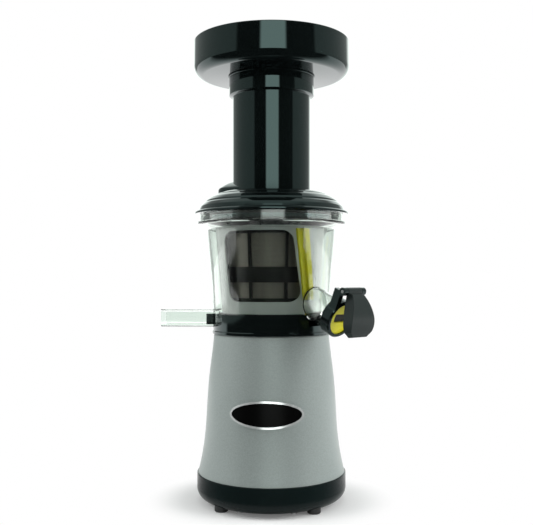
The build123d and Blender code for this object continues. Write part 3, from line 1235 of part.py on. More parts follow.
def auger():
    """Auger with a tapered core, one long helical flight and short crushing ridges below."""
    bottom = BASKET_BOTTOM_Z + BASKET_FLOOR + AUGER_LIFT
    core = cone(AUGER_CORE_BOTTOM_R, AUGER_CORE_TOP_R, bottom, AUGER_TOP_Z)
    core += cyl(AUGER_NECK_R, Z_DRIVE_TOP, bottom) + cyl(NECK_SPIGOT_R, Z_DRIVE - 2, Z_DRIVE_TOP)
    core += cyl(AUGER_NOSE_R, AUGER_TOP_Z - 1, AUGER_TOP_Z + AUGER_NOSE_HEIGHT)
    shoulder = SCREEN_TOP_Z - FLIGHT_SHOULDER
    envelope = screen_cone(-SCREEN_WALL - FREE, bottom, shoulder)
    envelope += cone(screen_r(shoulder) - SCREEN_WALL - FREE, FLIGHT_TOP_R, shoulder, AUGER_TOP_Z)
    rise = AUGER_TOP_Z - bottom
    flight_rise = rise - 2 * BLADE_START
    flight = helical_blade(rise / FLIGHT_TURNS, flight_rise, FLIGHT_THICKNESS, bottom + BLADE_START)
    core += flight & envelope
    low_part = cyl(SCREEN_TOP_R, bottom, bottom + RIDGE_RISE) & envelope
    for k in range(RIDGES):
        ridge = helical_blade(rise * 1.6, RIDGE_RISE * 1.2, RIDGE_THICKNESS, bottom)
        reach = cyl(AUGER_CORE_BOTTOM_R + RIDGE_PROUD, bottom, bottom + RIDGE_RISE)
        core += Rot(0, 0, 360 * k / RIDGES) * ridge & low_part & reach
    socket = RegularPolygon(HEX_SHAFT_ACROSS / 2 + SEAT, 6, major_radius=False)
    return core - extrude(socket, HEX_TOP_Z + SEAT)


def helical_blade(pitch, rise, thickness, bottom):
    """A blade swept up a helix round the drive axis, running from the core outwards."""
    path = Helix(pitch, rise, BLADE_MID_R)
    across = Plane(origin=(BLADE_MID_R, 0, 0), x_dir=(1, 0, 0), z_dir=(0, 1, 0))
    profile = across * Rectangle(2 * BLADE_HALF, thickness)
    return Pos(0, 0, bottom) * sweep(profile, path, is_frenet=True)


# ---------------------------------------------------------------- lid, tube and hopper
def lid():
    """Glossy black domed lid with a raised deck, a bridge with the auger's hub, and lugs."""
    skirt_low = Z_LID - LID_SKIRT_DROP
    outer = lid_dome(0, Z_LID + LID_FLANGE, Z_CROWN)
    outer += cyl(LID_R, Z_LID, Z_LID + LID_FLANGE) + cyl(LID_SKIRT_R, skirt_low, Z_LID)
    flange_top = Z_LID + LID_FLANGE
    inner = lid_dome(LID_WALL, flange_top, Z_CROWN - LID_WALL)
    inner += cyl(LID_SKIRT_R - LID_WALL, skirt_low - 1, flange_top + 0.1)
    shell = outer + deck_bulge() - inner
    shell += tube(TUBE_R + LID_WALL, TUBE_R - TUBE_WALL, Z_CROWN - 6, Z_CROWN)
    shell -= cyl(TUBE_R + SEAT, Z_CROWN - LID_WALL, Z_TOP)
    shell -= cyl(TUBE_R - TUBE_WALL, 0, Z_TOP)
    bridge = block(TUBE_R, HUB_BRIDGE / 2, Z_CROWN - 6, Z_CROWN - LID_WALL)
    hub = cyl(HUB_R, AUGER_TOP_Z + 3, Z_CROWN - LID_WALL)
    bore = cyl(AUGER_NOSE_R + 0.3, 0, AUGER_TOP_Z + AUGER_NOSE_HEIGHT + FACE)
    shell += bridge + hub - bore
    shell -= tube(LID_SKIRT_R + 1, LID_SKIRT_R - GASKET_SECTION, Z_LID - GASKET_SECTION - 0.6, Z_LID - 0.6)
    for k in range(RIM_LUGS):
        lug = rim_lug(LUG_LID_R, LID_SKIRT_R - 1, skirt_low, LUG_Z - SEAT)
        shell += from_front(360 * (k + 0.5) / RIM_LUGS) * lug
    return shell


def lid_dome(inset, bottom, crown):
    """The dome's solid form: a rounded shoulder up to a flat crown."""
    start = (LID_R - 3.2 - inset, bottom)
    middle = (LID_SHOULDER_R - inset, Z_LID + LID_SHOULDER_RISE - inset / 2)
    end = (LID_CROWN_R - inset / 2, crown)
    arc = ThreePointArc(start, middle, end)
    lines = Polyline(end, (0, crown), (0, bottom), start)
    return revolve(Plane.XZ * make_face(Curve() + [arc, lines]), Axis.Z)


def deck_bulge():
    """Raised deck round the tube that runs out to the left in a rounded hump."""
    centre = DECK_BULGE_REACH - DECK_BULGE_R
    plan = make_hull((Circle(TUBE_R + DECK_EDGE) + Pos(-centre, 0) * Circle(DECK_BULGE_R)).edges())
    deck = extrude(Pos(0, 0, Z_CROWN - 1) * plan, DECK_STEP + 1)
    hump_plan = make_hull((Circle(TUBE_R - 1) + Pos(-centre, 0) * Circle(DECK_BULGE_R - 1)).edges())
    hump = extrude(Pos(0, 0, Z_CROWN - 1) * hump_plan, DECK_BULGE_HEIGHT + 1)
    return deck + fillet(hump.faces().sort_by(Axis.Z)[-1].edges(), DECK_BULGE_ROUND)


def lid_gasket():
    """Silicone ring in the groove of the lid's skirt."""
    return tube(LID_SKIRT_R + 0.5, LID_SKIRT_R - GASKET_SECTION, Z_LID - GASKET_SECTION - 0.6, Z_LID - 0.6)


def feed_tube():
    """Tall black feed tube with a widened socket at the top for the hopper."""
    step = Z_SOCKET + SOCKET_STEP
    tall = spun([(0, Z_CROWN - LID_WALL), (TUBE_R, Z_CROWN - LID_WALL), (TUBE_R, Z_SOCKET - 1),
                 (SOCKET_R - 0.8, Z_SOCKET), (SOCKET_R, Z_SOCKET + 0.8), (SOCKET_R, Z_COLLAR), (0, Z_COLLAR)])
    tall -= cyl(TUBE_R - TUBE_WALL, 0, Z_TOP)
    return tall - cyl(TUBE_R - TUBE_WALL + SPIGOT_WALL + SEAT, step, Z_TOP)


def hopper():
    """Round black tray with a spigot that drops into the tube's socket."""
    bore = TUBE_R - TUBE_WALL
    neck_top = Z_TRAY
    body = spun([(0, Z_COLLAR - SPIGOT_DEPTH), (bore + SPIGOT_WALL, Z_COLLAR - SPIGOT_DEPTH),
                 (bore + SPIGOT_WALL, Z_COLLAR), (COLLAR_LIP_R, Z_COLLAR),
                 (COLLAR_LIP_R, Z_COLLAR + COLLAR_LIP), (NECK_R, Z_COLLAR + COLLAR_LIP),
                 (NECK_R, neck_top + 1), (0, neck_top + 1)])
    tray = extrude(Pos(0, 0, Z_TRAY) * Circle(TRAY_R), TRAY_HEIGHT)
    tray = fillet(tray.edges().sort_by(Axis.Z)[0], TRAY_ROUND)
    dish = extrude(Pos(0, 0, Z_TRAY + TRAY_WALL + TRAY_FALL) * Circle(TRAY_R - TRAY_WALL), TRAY_HEIGHT)
    dish = fillet(dish.edges().sort_by(Axis.Z)[0], TRAY_ROUND - TRAY_WALL)
    fall = cone(bore, TRAY_R - TRAY_ROUND, Z_TRAY + TRAY_WALL - 0.4, Z_TRAY + TRAY_WALL + TRAY_FALL + 0.1)
    tray = tray + body - dish - fall
    tray = fillet(tray.edges().sort_by(Axis.Z)[-1], 0.8)
    return tray - cyl(bore, 0, Z_TOP + 1)


# ---------------------------------------------------------------- build
NODES = {
    "rubber_feet": rubber_feet,
    "base_skirt": base_skirt,
    "bottom_plate": bottom_plate,
    "bottom_screws": bottom_screws,
    "motor_housing": motor_housing,
    "badge_bezel": badge_bezel,
    "badge_plate": badge_plate,
    "switch_bezel": switch_bezel,
    "rocker_switch": rocker_switch,
    "cord_inlet": cord_inlet,
    "drive_collar": drive_collar,
    "motor_mounts": motor_mounts,
    "motor_bracket": motor_bracket,
    "motor_bushings": motor_bushings,
    "motor_stator": motor_stator,
    "stator_windings": stator_windings,
    "motor_rotor": motor_rotor,
    "motor_fan": motor_fan,
    "motor_shaft": motor_shaft,
    "gearbox_case": gearbox_case,
    "gearbox_cover": gearbox_cover,
    "gearbox_screws": gearbox_screws,
    "counter_pin": counter_pin,
    "counter_gear": counter_gear,
    "output_gear": output_gear,
    "drive_shaft": drive_shaft,
    "drive_bushings": drive_bushings,
    "control_board": control_board,
    "run_capacitor": run_capacitor,
    "bowl_base": bowl_base,
    "shaft_seal": shaft_seal,
    "juicing_bowl": juicing_bowl,
    "juice_spout": juice_spout,
    "pulp_outlet": pulp_outlet,
    "pulp_collar": pulp_collar,
    "pulp_seal": pulp_seal,
    "flap_pin": flap_pin,
    "pulp_flap": pulp_flap,
    "screen_mesh": screen_mesh,
    "screen_frame": screen_frame,
    "brush_frame": brush_frame,
    "wiper_blades": wiper_blades,
    "idler_gear_a": lambda: idler_gear(0),
    "idler_gear_b": lambda: idler_gear(1),
    "idler_pins": idler_pins,
    "auger_gear": auger_gear,
    "auger": auger,
    "lid": lid,
    "lid_gasket": lid_gasket,
    "feed_tube": feed_tube,
    "hopper": hopper,
}


def main():
    """Build every sub-part and write it as its own STEP file."""
    os.makedirs("parts", exist_ok=True)
    for name, make in NODES.items():
        export_step(make(), f"parts/{name}.step")


if __name__ == "__main__":
    main()
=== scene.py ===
"""An upright cold press juicer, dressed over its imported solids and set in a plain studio.

Sizes of pieces are in millimetres and are turned to metres where a mesh is made; sizes in finishes
and in the studio are in metres. +Z is up, the drive axis is the Z axis, the front is -Y and the
juice spout points to -X.
"""

from __future__ import annotations

import json
import logging
import math
from dataclasses import dataclass, field
from enum import Enum
from typing import Any, Iterable, Sequence, Union

import bpy
import numpy as np
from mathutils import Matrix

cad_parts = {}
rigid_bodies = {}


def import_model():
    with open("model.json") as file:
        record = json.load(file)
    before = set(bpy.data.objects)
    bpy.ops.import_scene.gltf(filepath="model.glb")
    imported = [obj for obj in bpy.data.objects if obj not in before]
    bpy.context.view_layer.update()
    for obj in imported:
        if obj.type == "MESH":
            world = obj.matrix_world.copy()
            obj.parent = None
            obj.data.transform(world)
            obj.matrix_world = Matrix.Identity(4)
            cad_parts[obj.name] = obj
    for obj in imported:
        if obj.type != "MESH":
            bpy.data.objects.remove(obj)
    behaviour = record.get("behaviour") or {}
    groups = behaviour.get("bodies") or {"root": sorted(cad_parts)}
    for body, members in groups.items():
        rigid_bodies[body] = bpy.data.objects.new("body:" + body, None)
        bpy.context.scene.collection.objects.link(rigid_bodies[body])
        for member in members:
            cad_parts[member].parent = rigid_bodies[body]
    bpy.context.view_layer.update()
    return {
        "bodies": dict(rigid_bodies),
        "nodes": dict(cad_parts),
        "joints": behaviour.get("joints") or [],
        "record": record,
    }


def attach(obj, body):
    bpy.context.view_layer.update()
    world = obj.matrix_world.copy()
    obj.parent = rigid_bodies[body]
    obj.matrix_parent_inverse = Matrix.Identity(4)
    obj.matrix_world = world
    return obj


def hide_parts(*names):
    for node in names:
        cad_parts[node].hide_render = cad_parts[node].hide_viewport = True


LOG = logging.getLogger("juicer")
MM = 0.001
FULL_TURN = 2 * math.pi
RING_STEPS = 192  # sections round a large turned piece
SENSOR_WIDTH = 36.0
WHITE = (1.0, 1.0, 1.0)

Colour = tuple[float, float, float]
Corner = tuple[float, float, float]  # two coordinates and the radius that rounds the corner
Edge = tuple[float, float]  # where a soft step begins and where it ends
Number = Union["Value", float]


# -------------------- shader maths
class Value:
    """A number that changes over a surface: Python's operators on it add Math nodes."""

    def __init__(self, graph: "Graph", socket: bpy.types.NodeSocket) -> None:
        """Wraps one output socket of a graph."""
        self.graph = graph
        self.socket = socket

    def math(self, operation: str, *others: Number) -> "Value":
        """Adds a Math node with this value first.

        Args:
            operation: the Math node's operation.
            others: the node's further inputs, values or plain numbers.

        Returns:
            The node's result.
        """
        return self.graph.math(operation, self, *others)

    def __add__(self, other: Number) -> "Value":
        """Sum."""
        return self.math("ADD", other)

    __radd__ = __add__

    def __mul__(self, other: Number) -> "Value":
        """Product."""
        return self.math("MULTIPLY", other)

    __rmul__ = __mul__

    def __sub__(self, other: Number) -> "Value":
        """Difference."""
        return self.math("SUBTRACT", other)

    def __rsub__(self, other: Number) -> "Value":
        """Difference, with this value taken away."""
        return self.graph.math("SUBTRACT", other, self)

    def __truediv__(self, other: Number) -> "Value":
        """Quotient."""
        return self.math("DIVIDE", other)

    def __rtruediv__(self, other: Number) -> "Value":
        """Quotient, with this value below."""
        return self.graph.math("DIVIDE", other, self)

    def __mod__(self, other: Number) -> "Value":
        """Remainder that is never negative."""
        return self.math("FLOORED_MODULO", other)

    def __abs__(self) -> "Value":
        """Size without its sign."""
        return self.math("ABSOLUTE")

    def drift(self, middle: Number, spread: float) -> "Value":
        """A number that drifts round its middle with this noise: middle + (noise - 0.5) spread."""
        return middle + (self - 0.5) * spread

    def soft_step(self, low: float, high: float) -> "Value":
        """Rises smoothly from 0 to 1.

        Args:
            low: where it leaves 0.
            high: where it reaches 1.

        Returns:
            The step's result.
        """
        node = self.graph.node(
            "ShaderNodeMapRange",
            {"interpolation_type": "SMOOTHSTEP"},
            {"Value": self, "From Min": low, "From Max": high},
        )
        return Value(self.graph, node.outputs["Result"])


class Graph:
    """The node graph of one material or of the world."""

    def __init__(self, owner: bpy.types.Material | bpy.types.World) -> None:
        """Starts with an empty node tree.

        Args:
            owner: the material or world that gets it.
        """
        owner.use_nodes = True
        self.tree = owner.node_tree
        self.tree.nodes.clear()

    def node(
        self,
        kind: str,
        settings: dict[str, Any] | None = None,
        sockets: dict[str | int, Any] | None = None,
    ) -> bpy.types.Node:
        """Adds a node of any type.

        Args:
            kind: the node's type.
            settings: properties, which are set first.
            sockets: values or links, by the input's name or number.

        Returns:
            The node.
        """
        made = self.tree.nodes.new(kind)
        for name, setting in (settings or {}).items():
            setattr(made, name, setting)
        for name, value in (sockets or {}).items():
            self.feed(made.inputs[name], value)
        return made

    def feed(self, socket: bpy.types.NodeSocket, value: Any) -> None:
        """Links an output to an input, or sets the input's own value.

        Args:
            socket: the input.
            value: a Value or an output socket to link, or a number, a vector or a colour to set.
        """
        if isinstance(value, Value):
            self.tree.links.new(value.socket, socket)
        elif isinstance(value, bpy.types.NodeSocket):
            self.tree.links.new(value, socket)
        elif socket.type == "RGBA":
            socket.default_value = (*value, 1.0)
        else:
            socket.default_value = value

    def math(self, operation: str, *inputs: Number) -> Value:
        """Adds a Math node and returns its result."""
        node = self.node("ShaderNodeMath", {"operation": operation}, dict(enumerate(inputs)))
        return Value(self, node.outputs[0])

    def mix(self, factor: Value, first: Any, second: Any) -> bpy.types.NodeSocket:
        """Adds a colour Mix node and returns its result socket."""
        inputs = {0: factor, 6: first, 7: second}
        return self.node("ShaderNodeMix", {"data_type": "RGBA"}, inputs).outputs[2]

    def shades(self, factor: Value, colour: Colour, dark: float, light: float) -> Any:
        """Mixes a darker and a lighter shade of one colour and returns the result socket."""
        return self.mix(factor, shaded(colour, dark), shaded(colour, light))

    def parts(self, vector: bpy.types.NodeSocket) -> tuple[Value, Value, Value]:
        """A vector's three parts."""
        outputs = self.node("ShaderNodeSeparateXYZ", None, {0: vector}).outputs
        return Value(self, outputs[0]), Value(self, outputs[1]), Value(self, outputs[2])

    def place(self) -> bpy.types.NodeSocket:
        """The Object coordinates' socket, in metres."""
        return self.node("ShaderNodeTexCoord").outputs["Object"]

    def rays(self) -> tuple[Value, Value, Value]:
        """Tells rays apart.

        Returns:
            1 or 0 for a ray from the camera, from gloss and from inside clear plastic.
        """
        outputs = self.node("ShaderNodeLightPath").outputs
        names = ("Is Camera Ray", "Is Glossy Ray", "Is Transmission Ray")
        camera, gloss, through = (Value(self, outputs[name]) for name in names)
        return camera, gloss, through

    def noise(self, grain: float, detail: float, stretch: Sequence[float] = (1, 1, 1)) -> Value:
        """Cloudy noise on Object coordinates.

        Args:
            grain: the size of one cloud.
            detail: the octaves of finer noise on top.
            stretch: how much shorter the clouds are along each axis.

        Returns:
            The noise, about 0.5 on average.
        """
        scale = tuple(s / grain for s in stretch)
        mapping = self.node("ShaderNodeMapping", None, {"Vector": self.place(), "Scale": scale})
        inputs = {"Vector": mapping.outputs[0], "Scale": 1.0, "Detail": detail}
        return Value(self, self.node("ShaderNodeTexNoise", None, inputs).outputs[0])

    def relief(self, height: Value, depth: float, strength: float = 1.0) -> bpy.types.NodeSocket:
        """Adds a Bump node for a height between 0 and 1 and returns its normal."""
        inputs = {"Height": height, "Distance": depth, "Strength": strength}
        return self.node("ShaderNodeBump", None, inputs).outputs[0]

    def surface(self, **sockets: Any) -> None:
        """Ends a material in a Principled shader.

        Args:
            sockets: its inputs by name, with an underscore for each space.
        """
        inputs = {name.replace("_", " "): value for name, value in sockets.items()}
        shader = self.node("ShaderNodeBsdfPrincipled", None, inputs)
        self.node("ShaderNodeOutputMaterial", None, {0: shader.outputs[0]})


def blend(first: Number, second: Number, share: Value) -> Value:
    """A number between two others: first + share (second - first)."""
    return first + share * (second - first)


def show(name: str, data: Any) -> bpy.types.Object:
    """Makes a new object in the scene.

    Args:
        name: its name.
        data: its mesh, lamp or camera.

    Returns:
        The object.
    """
    made = bpy.data.objects.new(name, data)
    bpy.context.scene.collection.objects.link(made)
    return made


def shaded(colour: Colour, factor: float) -> Colour:
    """A colour made darker or lighter by a factor, no part above 1."""
    red, green, blue = (min(1.0, part * factor) for part in colour)
    return red, green, blue


# -------------------- finishes
@dataclass(frozen=True)
class Finish:
    """A surface finish: it builds its material once and puts it on pieces."""

    name: str
    colour: Colour

    def build(self, graph: Graph) -> None:
        """Fills the material's graph, in each finish's own way."""
        raise NotImplementedError

    def material(self) -> bpy.types.Material:
        """The finish's material, made at its first use under a name that no packed one has.

        Returns:
            The material.
        """
        title = f"{self.name}_finish"
        found = bpy.data.materials.get(title)
        if found is None:
            found = bpy.data.materials.new(title)
            self.build(Graph(found))
        return found


@dataclass(frozen=True)
class Moulded(Finish):
    """Moulded plastic or rubber: a cloudy sheen over a fine grain."""

    gloss: float
    gloss_spread: float
    grain: float = 0.0006
    depth: float = 0.00002
    tint: Colour = WHITE  # of the highlights
    specular: float = 0.5
    cloud: float = 0.03
    shades: tuple[float, float] = (0.9, 1.1)
    detail: float = 2.0

    def build(self, graph: Graph) -> None:
        """Colour and roughness drift with a broad cloud, and the grain lifts the surface.

        Args:
            graph: the material's empty graph.
        """
        cloud = graph.noise(self.cloud, self.detail)
        fine = graph.noise(self.grain, self.detail)
        graph.surface(
            Base_Color=graph.shades(cloud, self.colour, *self.shades),
            Roughness=cloud.drift(self.gloss, self.gloss_spread),
            Normal=graph.relief(fine, self.depth),
            Specular_Tint=self.tint,
            Specular_IOR_Level=self.specular,
        )


@dataclass(frozen=True)
class Metal(Finish):
    """Turned, brushed or cast metal: streaks or grains in its roughness and relief."""

    gloss: float
    grain: float = 0.002
    stretch: tuple[float, float, float] = (1.0, 1.0, 12.0)
    depth: float = 0.00002
    metallic: float = 1.0
    gloss_spread: float = 0.2
    shades: tuple[float, float] = (0.85, 1.0)
    detail: float = 3.0

    def build(self, graph: Graph) -> None:
        """Streaks are noise squeezed along one axis.

        Args:
            graph: the material's empty graph.
        """
        streaks = graph.noise(self.grain, self.detail, self.stretch)
        graph.surface(
            Base_Color=graph.shades(streaks, self.colour, *self.shades),
            Metallic=self.metallic,
            Roughness=streaks.drift(self.gloss, self.gloss_spread),
            Normal=graph.relief(streaks, self.depth),
        )


@dataclass(frozen=True)
class Perforated(Finish):
    """Punched steel sheet rolled round the juicer's axis: staggered rows of small holes, drawn as
    dark spots of painted shade on a whole sheet.
    """

    gloss: float = 0.42
    gloss_spread: float = 0.1
    metallic: float = 0.45
    pitch: float = 0.0010
    columns: int = 240
    hole: Edge = (0.000216, 0.000324)  # the hole's rim, out from its middle
    # painted shade: the holes are not cut, and this darkens the colour inside each hole
    hole_painted_shade: float = 0.12
    grain: float = 0.006
    stretch: tuple[float, float, float] = (1.0, 1.0, 0.05)
    shades: tuple[float, float] = (0.6, 1.4)
    detail: float = 3.0
    depth: float = 0.0002
    strength: float = 0.6

    def build(self, graph: Graph) -> None:
        """A hole is where a point lies nearer to its cell's middle than the hole's rim; there the
        colour is darkened, a painted shade for the open hole.

        Cells are counted by the turn round the axis and by height, and every second row is half
        a cell on. The distance is the root of the sum of the squares of both offsets.

        Args:
            graph: the material's empty graph.
        """
        across, along, up = graph.parts(graph.place())
        row = up / self.pitch
        stagger = row.math("FLOOR") % 2.0 * 0.5
        column = along.math("ARCTAN2", across) * (self.columns / FULL_TURN) + stagger
        aside, above = ((cell.math("FRACT") - 0.5) * self.pitch for cell in (column, row))
        sheet = (aside * aside + above * above).math("SQRT").soft_step(*self.hole)
        streaks = graph.noise(self.grain, self.detail, self.stretch)
        metal = graph.shades(streaks, self.colour, *self.shades)
        graph.surface(
            # painted shade: dark colour in each hole
            Base_Color=graph.mix(sheet, shaded(self.colour, self.hole_painted_shade), metal),
            Metallic=self.metallic,
            Roughness=streaks.drift(self.gloss, self.gloss_spread),
            Normal=graph.relief(sheet, self.depth, self.strength),
        )


@dataclass(frozen=True)
class SatinPaint(Finish):
    """Metallic paint: a satin sheen with flakes that catch the light."""

    gloss: float = 0.42
    metallic: float = 0.10
    specular: float = 0.15
    flake: float = 0.0007
    shades: tuple[float, float] = (0.93, 1.05)
    flake_spread: float = 0.06
    cloud: float = 0.05
    detail: float = 2.0
    cloud_spread: float = 0.05
    depth: float = 0.00001
    strength: float = 0.4

    def build(self, graph: Graph) -> None:
        """Each flake is one cell of a fine cell pattern, a little lighter or darker and tilted.

        Args:
            graph: the material's empty graph.
        """
        inputs = {"Vector": graph.place(), "Scale": 1.0 / self.flake}
        cells = graph.node("ShaderNodeTexVoronoi", None, inputs)
        tone = graph.node("ShaderNodeSeparateColor", None, {0: cells.outputs["Color"]})
        flakes = Value(graph, tone.outputs[0])
        cloud = graph.noise(self.cloud, self.detail)
        gloss = cloud.drift(self.gloss, self.cloud_spread)
        graph.surface(
            Base_Color=graph.shades(flakes, self.colour, *self.shades),
            Metallic=self.metallic,
            Roughness=flakes.drift(gloss, self.flake_spread),
            Normal=graph.relief(flakes, self.depth, self.strength),
            Specular_IOR_Level=self.specular,
        )


@dataclass(frozen=True)
class Clear(Finish):
    """Clear moulded plastic with faint flow marks."""

    gloss: float = 0.03
    gloss_rise: float = 0.02
    index: float = 1.49
    flow: float = 0.02
    detail: float = 1.0
    depth: float = 0.0002
    strength: float = 0.2

    def build(self, graph: Graph) -> None:
        """Light goes through; the flow marks are a broad, shallow relief.

        Args:
            graph: the material's empty graph.
        """
        flow = graph.noise(self.flow, self.detail)
        graph.surface(
            Base_Color=self.colour,
            Roughness=self.gloss + flow * self.gloss_rise,
            Transmission_Weight=1.0,
            IOR=self.index,
            Normal=graph.relief(flow, self.depth, self.strength),
        )


class Finishes(Enum):
    """The juicer's finishes. Each is named as the record's material slot that takes it."""

    BLACK = Moulded(
        "gloss_black", (0.003, 0.0045, 0.0045), 0.04, 0.03, grain=0.03, tint=(0.70, 1.0, 0.98)
    )
    SKIRT = Moulded("skirt_grey", (0.005, 0.010, 0.010), 0.22, 0.06, specular=0.16)
    BADGE = Moulded("badge_black", (0.002, 0.002, 0.002), 0.30, 0.03, specular=0.05)
    FLAP = Moulded("flap_grey", (0.018, 0.024, 0.023), 0.30, 0.06, specular=0.22)
    CHARCOAL = Moulded("charcoal", (0.008, 0.009, 0.008), 0.34, 0.08, specular=0.2)
    GREY = Moulded("light_grey", (0.50, 0.535, 0.515), 0.42, 0.05)
    NYLON = Moulded("gear_white", (0.78, 0.77, 0.72), 0.45, 0.05)
    SILICONE = Moulded("yellow_silicone", (0.78, 0.72, 0.02), 0.45, 0.08, 0.0005, 0.00003)
    RUBBER = Moulded("black_rubber", (0.022, 0.022, 0.022), 0.62, 0.1, 0.0005, 0.00005)
    BOARD = Moulded("board_green", (0.02, 0.20, 0.09), 0.35, 0.05)
    SILVER = SatinPaint("silver_shell", (0.28, 0.315, 0.305))
    CLEAR = Clear("clear", (0.91, 0.945, 0.915))
    SCREEN = Perforated("screen_steel", (0.19, 0.175, 0.15))
    CHROME = Metal("chrome_trim", (0.86, 0.88, 0.88), 0.22, 0.004, (1, 1, 1), 0.000002, 0.55)
    STEEL = Metal("steel", (0.55, 0.55, 0.56), 0.32)
    ALUMINIUM = Metal("aluminium", (0.68, 0.69, 0.70), 0.48, 0.0015, (1, 1, 1), 0.00006)
    COPPER = Metal("copper", (0.72, 0.33, 0.16), 0.35, 0.0016, (1, 1, 8))
    BRONZE = Metal("bronze", (0.60, 0.45, 0.22), 0.40, 0.001, (1, 1, 1))

    @classmethod
    def of_slot(cls, slot: str) -> "Finishes":
        """The finish that a material slot of the record takes."""
        return next(look for look in cls if look.value.name == slot)


# -------------------- studio
@dataclass(frozen=True)
class Softbox:
    """A rectangular studio lamp that points at the juicer. Gloss doesn't show it."""

    name: str
    place: tuple[float, float, float]
    size: tuple[float, float]
    power: float
    aim: tuple[float, float, float] = (0.0, 0.0, 0.2)

    def build(self) -> None:
        """Adds the lamp."""
        lamp = bpy.data.lights.new(self.name, "AREA")
        lamp.shape = "RECTANGLE"
        lamp.size, lamp.size_y = self.size
        lamp.energy = self.power
        holder = show(self.name, lamp)
        holder.location = self.place
        x, y, z = np.array(self.aim) - np.array(self.place)
        holder.rotation_euler = (math.atan2(math.hypot(x, y), -z), 0.0, math.atan2(-x, y))
        holder.visible_glossy = False


@dataclass(frozen=True)
class Studio:
    """Pale floor, surroundings of light and dark panels, softboxes and the camera.

    A panel's edges are bearings in degrees, round the vertical from the front to the right. An
    edge that runs level is the upward part of a direction.
    """

    distance: float = 0.734  # of the camera from the drive axis
    height: float = 0.190
    turn: float = 4.2  # of the camera round the juicer, in degrees
    focal_px: float = 842.0
    frame_px: tuple[int, int] = (533, 525)
    horizon_px: float = 280.0
    axis_px: float = 271.5
    clip_start: float = 0.05
    even: float = 0.30  # the surroundings' light on matt surfaces
    cool: Colour = (0.93, 1.0, 0.965)
    room: float = 0.03
    room_through_glass: float = 0.45
    front_panel: float = 3.2
    front_left_edge: Edge = (-14.0, -9.0)
    front_right_edge: Edge = (22.0, 27.0)
    front_low_edge: Edge = (-0.03, 0.01)
    side_panels: float = 0.50
    left_edge: Edge = (-50.0, -44.0)
    right_edge: Edge = (66.0, 72.0)
    back_edge: Edge = (146.0, 158.0)
    back_in_gloss: float = 1.7
    ceiling: float = 0.85
    ceiling_through_glass: float = 0.05
    ceiling_edge: Edge = (0.62, 0.80)
    ceiling_fall_through_glass: float = 0.3
    floor_half: float = 3.0
    floor_tone: float = 0.85
    floor_glow: float = 0.12
    shadow_edge: Edge = (0.070, 0.110)  # out from the axis, where the floor turns white
    behind_edge: Edge = (-0.10, 0.25)  # along Y, where gloss begins to see a white floor
    softboxes: tuple[Softbox, ...] = (
        Softbox("key_left", (-1.5, -0.10, 0.65), (1.5, 1.9), 25.0),
        Softbox("fill_right", (1.5, -0.05, 0.60), (1.5, 1.9), 34.0),
        Softbox("top", (0.0, 0.0, 1.6), (0.9, 0.9), 7.0),
    )

    def build(self) -> None:
        """Makes the surroundings, the floor, the lamps and the camera."""
        bpy.context.scene.view_settings.view_transform = "Standard"
        self.surroundings()
        self.floor()
        for softbox in self.softboxes:
            softbox.build()
        self.camera()

    def surroundings(self) -> None:
        """World: white to the camera, even light to matt surfaces, panels in gloss and glass.

        Gloss and glass see a bright panel at the front of a dark room, pale panels at both sides,
        a white wall at the back and a pale ceiling. The bearing is the arc tangent of across over
        the distance towards the front.
        """
        world = bpy.data.worlds.new("studio")
        bpy.context.scene.world = world
        graph = Graph(world)
        camera, gloss, through = graph.rays()
        shown = (gloss + through).math("MINIMUM", 1.0)
        across, along, up = graph.parts(graph.node("ShaderNodeTexCoord").outputs["Generated"])
        bearing = across.math("ARCTAN2", 0.0 - along) * math.degrees(1.0)
        front_right = 1 - bearing.soft_step(*self.front_right_edge)
        front = bearing.soft_step(*self.front_left_edge) * front_right
        front = front * up.soft_step(*self.front_low_edge)
        left = 1 - bearing.soft_step(*self.left_edge)
        sides = bearing.soft_step(*self.right_edge) + left
        wall = abs(bearing).soft_step(*self.back_edge)
        above = (up + through * self.ceiling_fall_through_glass).soft_step(*self.ceiling_edge)
        dim = blend(self.room, self.side_panels, sides)
        dim = blend(dim, self.room_through_glass, through)
        back = blend(1.0, self.back_in_gloss, 1 - through)
        room = blend(dim, self.front_panel, front) + wall * (back - dim)
        ceiling = blend(self.ceiling, self.ceiling_through_glass, through)
        panels = room * (1 - above) + above * ceiling
        strength = camera + (1 - camera) * (shown * panels + (1 - shown) * self.even)
        tint = graph.mix(camera, self.cool, WHITE)
        light = graph.node("ShaderNodeBackground", None, {"Color": tint, "Strength": strength})
        graph.node("ShaderNodeOutputWorld", None, {0: light.outputs[0]})

    def floor(self) -> None:
        """A pale floor that fades to white away from the juicer and keeps its shadow.

        Near the axis it is matt with a faint glow. Farther out the camera sees white, and gloss
        and glass see the dark room's floor in front and a white one behind.
        """
        corners = np.array([(-1, -1, 0), (1, -1, 0), (1, 1, 0), (-1, 1, 0)]) * self.floor_half
        plane = Sheet.mesh("floor", corners, [(0, 1, 2, 3)])
        material = bpy.data.materials.new("pale_floor")
        graph = Graph(material)
        camera, gloss, through = graph.rays()
        glass = (gloss + through).math("MINIMUM", 1.0)
        across, along, _ = graph.parts(graph.place())
        away = (across * across + along * along).math("SQRT").soft_step(*self.shadow_edge)
        back = blend(1.0, self.back_in_gloss, gloss)
        floor = blend(self.room, back, along.soft_step(*self.behind_edge))
        far = camera + (1 - camera) * floor
        shown = (camera + glass).math("MINIMUM", 1.0)
        tone = {"Color": (self.floor_tone,) * 3}
        matt = graph.node("ShaderNodeBsdfDiffuse", None, tone).outputs[0]
        glow, white = (
            graph.node("ShaderNodeEmission", None, {"Color": WHITE, "Strength": power}).outputs[0]
            for power in (camera * self.floor_glow, far)
        )
        near = graph.node("ShaderNodeAddShader", None, {0: matt, 1: glow}).outputs[0]
        both = graph.node("ShaderNodeMixShader", None, {0: away * shown, 1: near, 2: white})
        graph.node("ShaderNodeOutputMaterial", None, {0: both.outputs[0]})
        plane.data.materials.append(material)

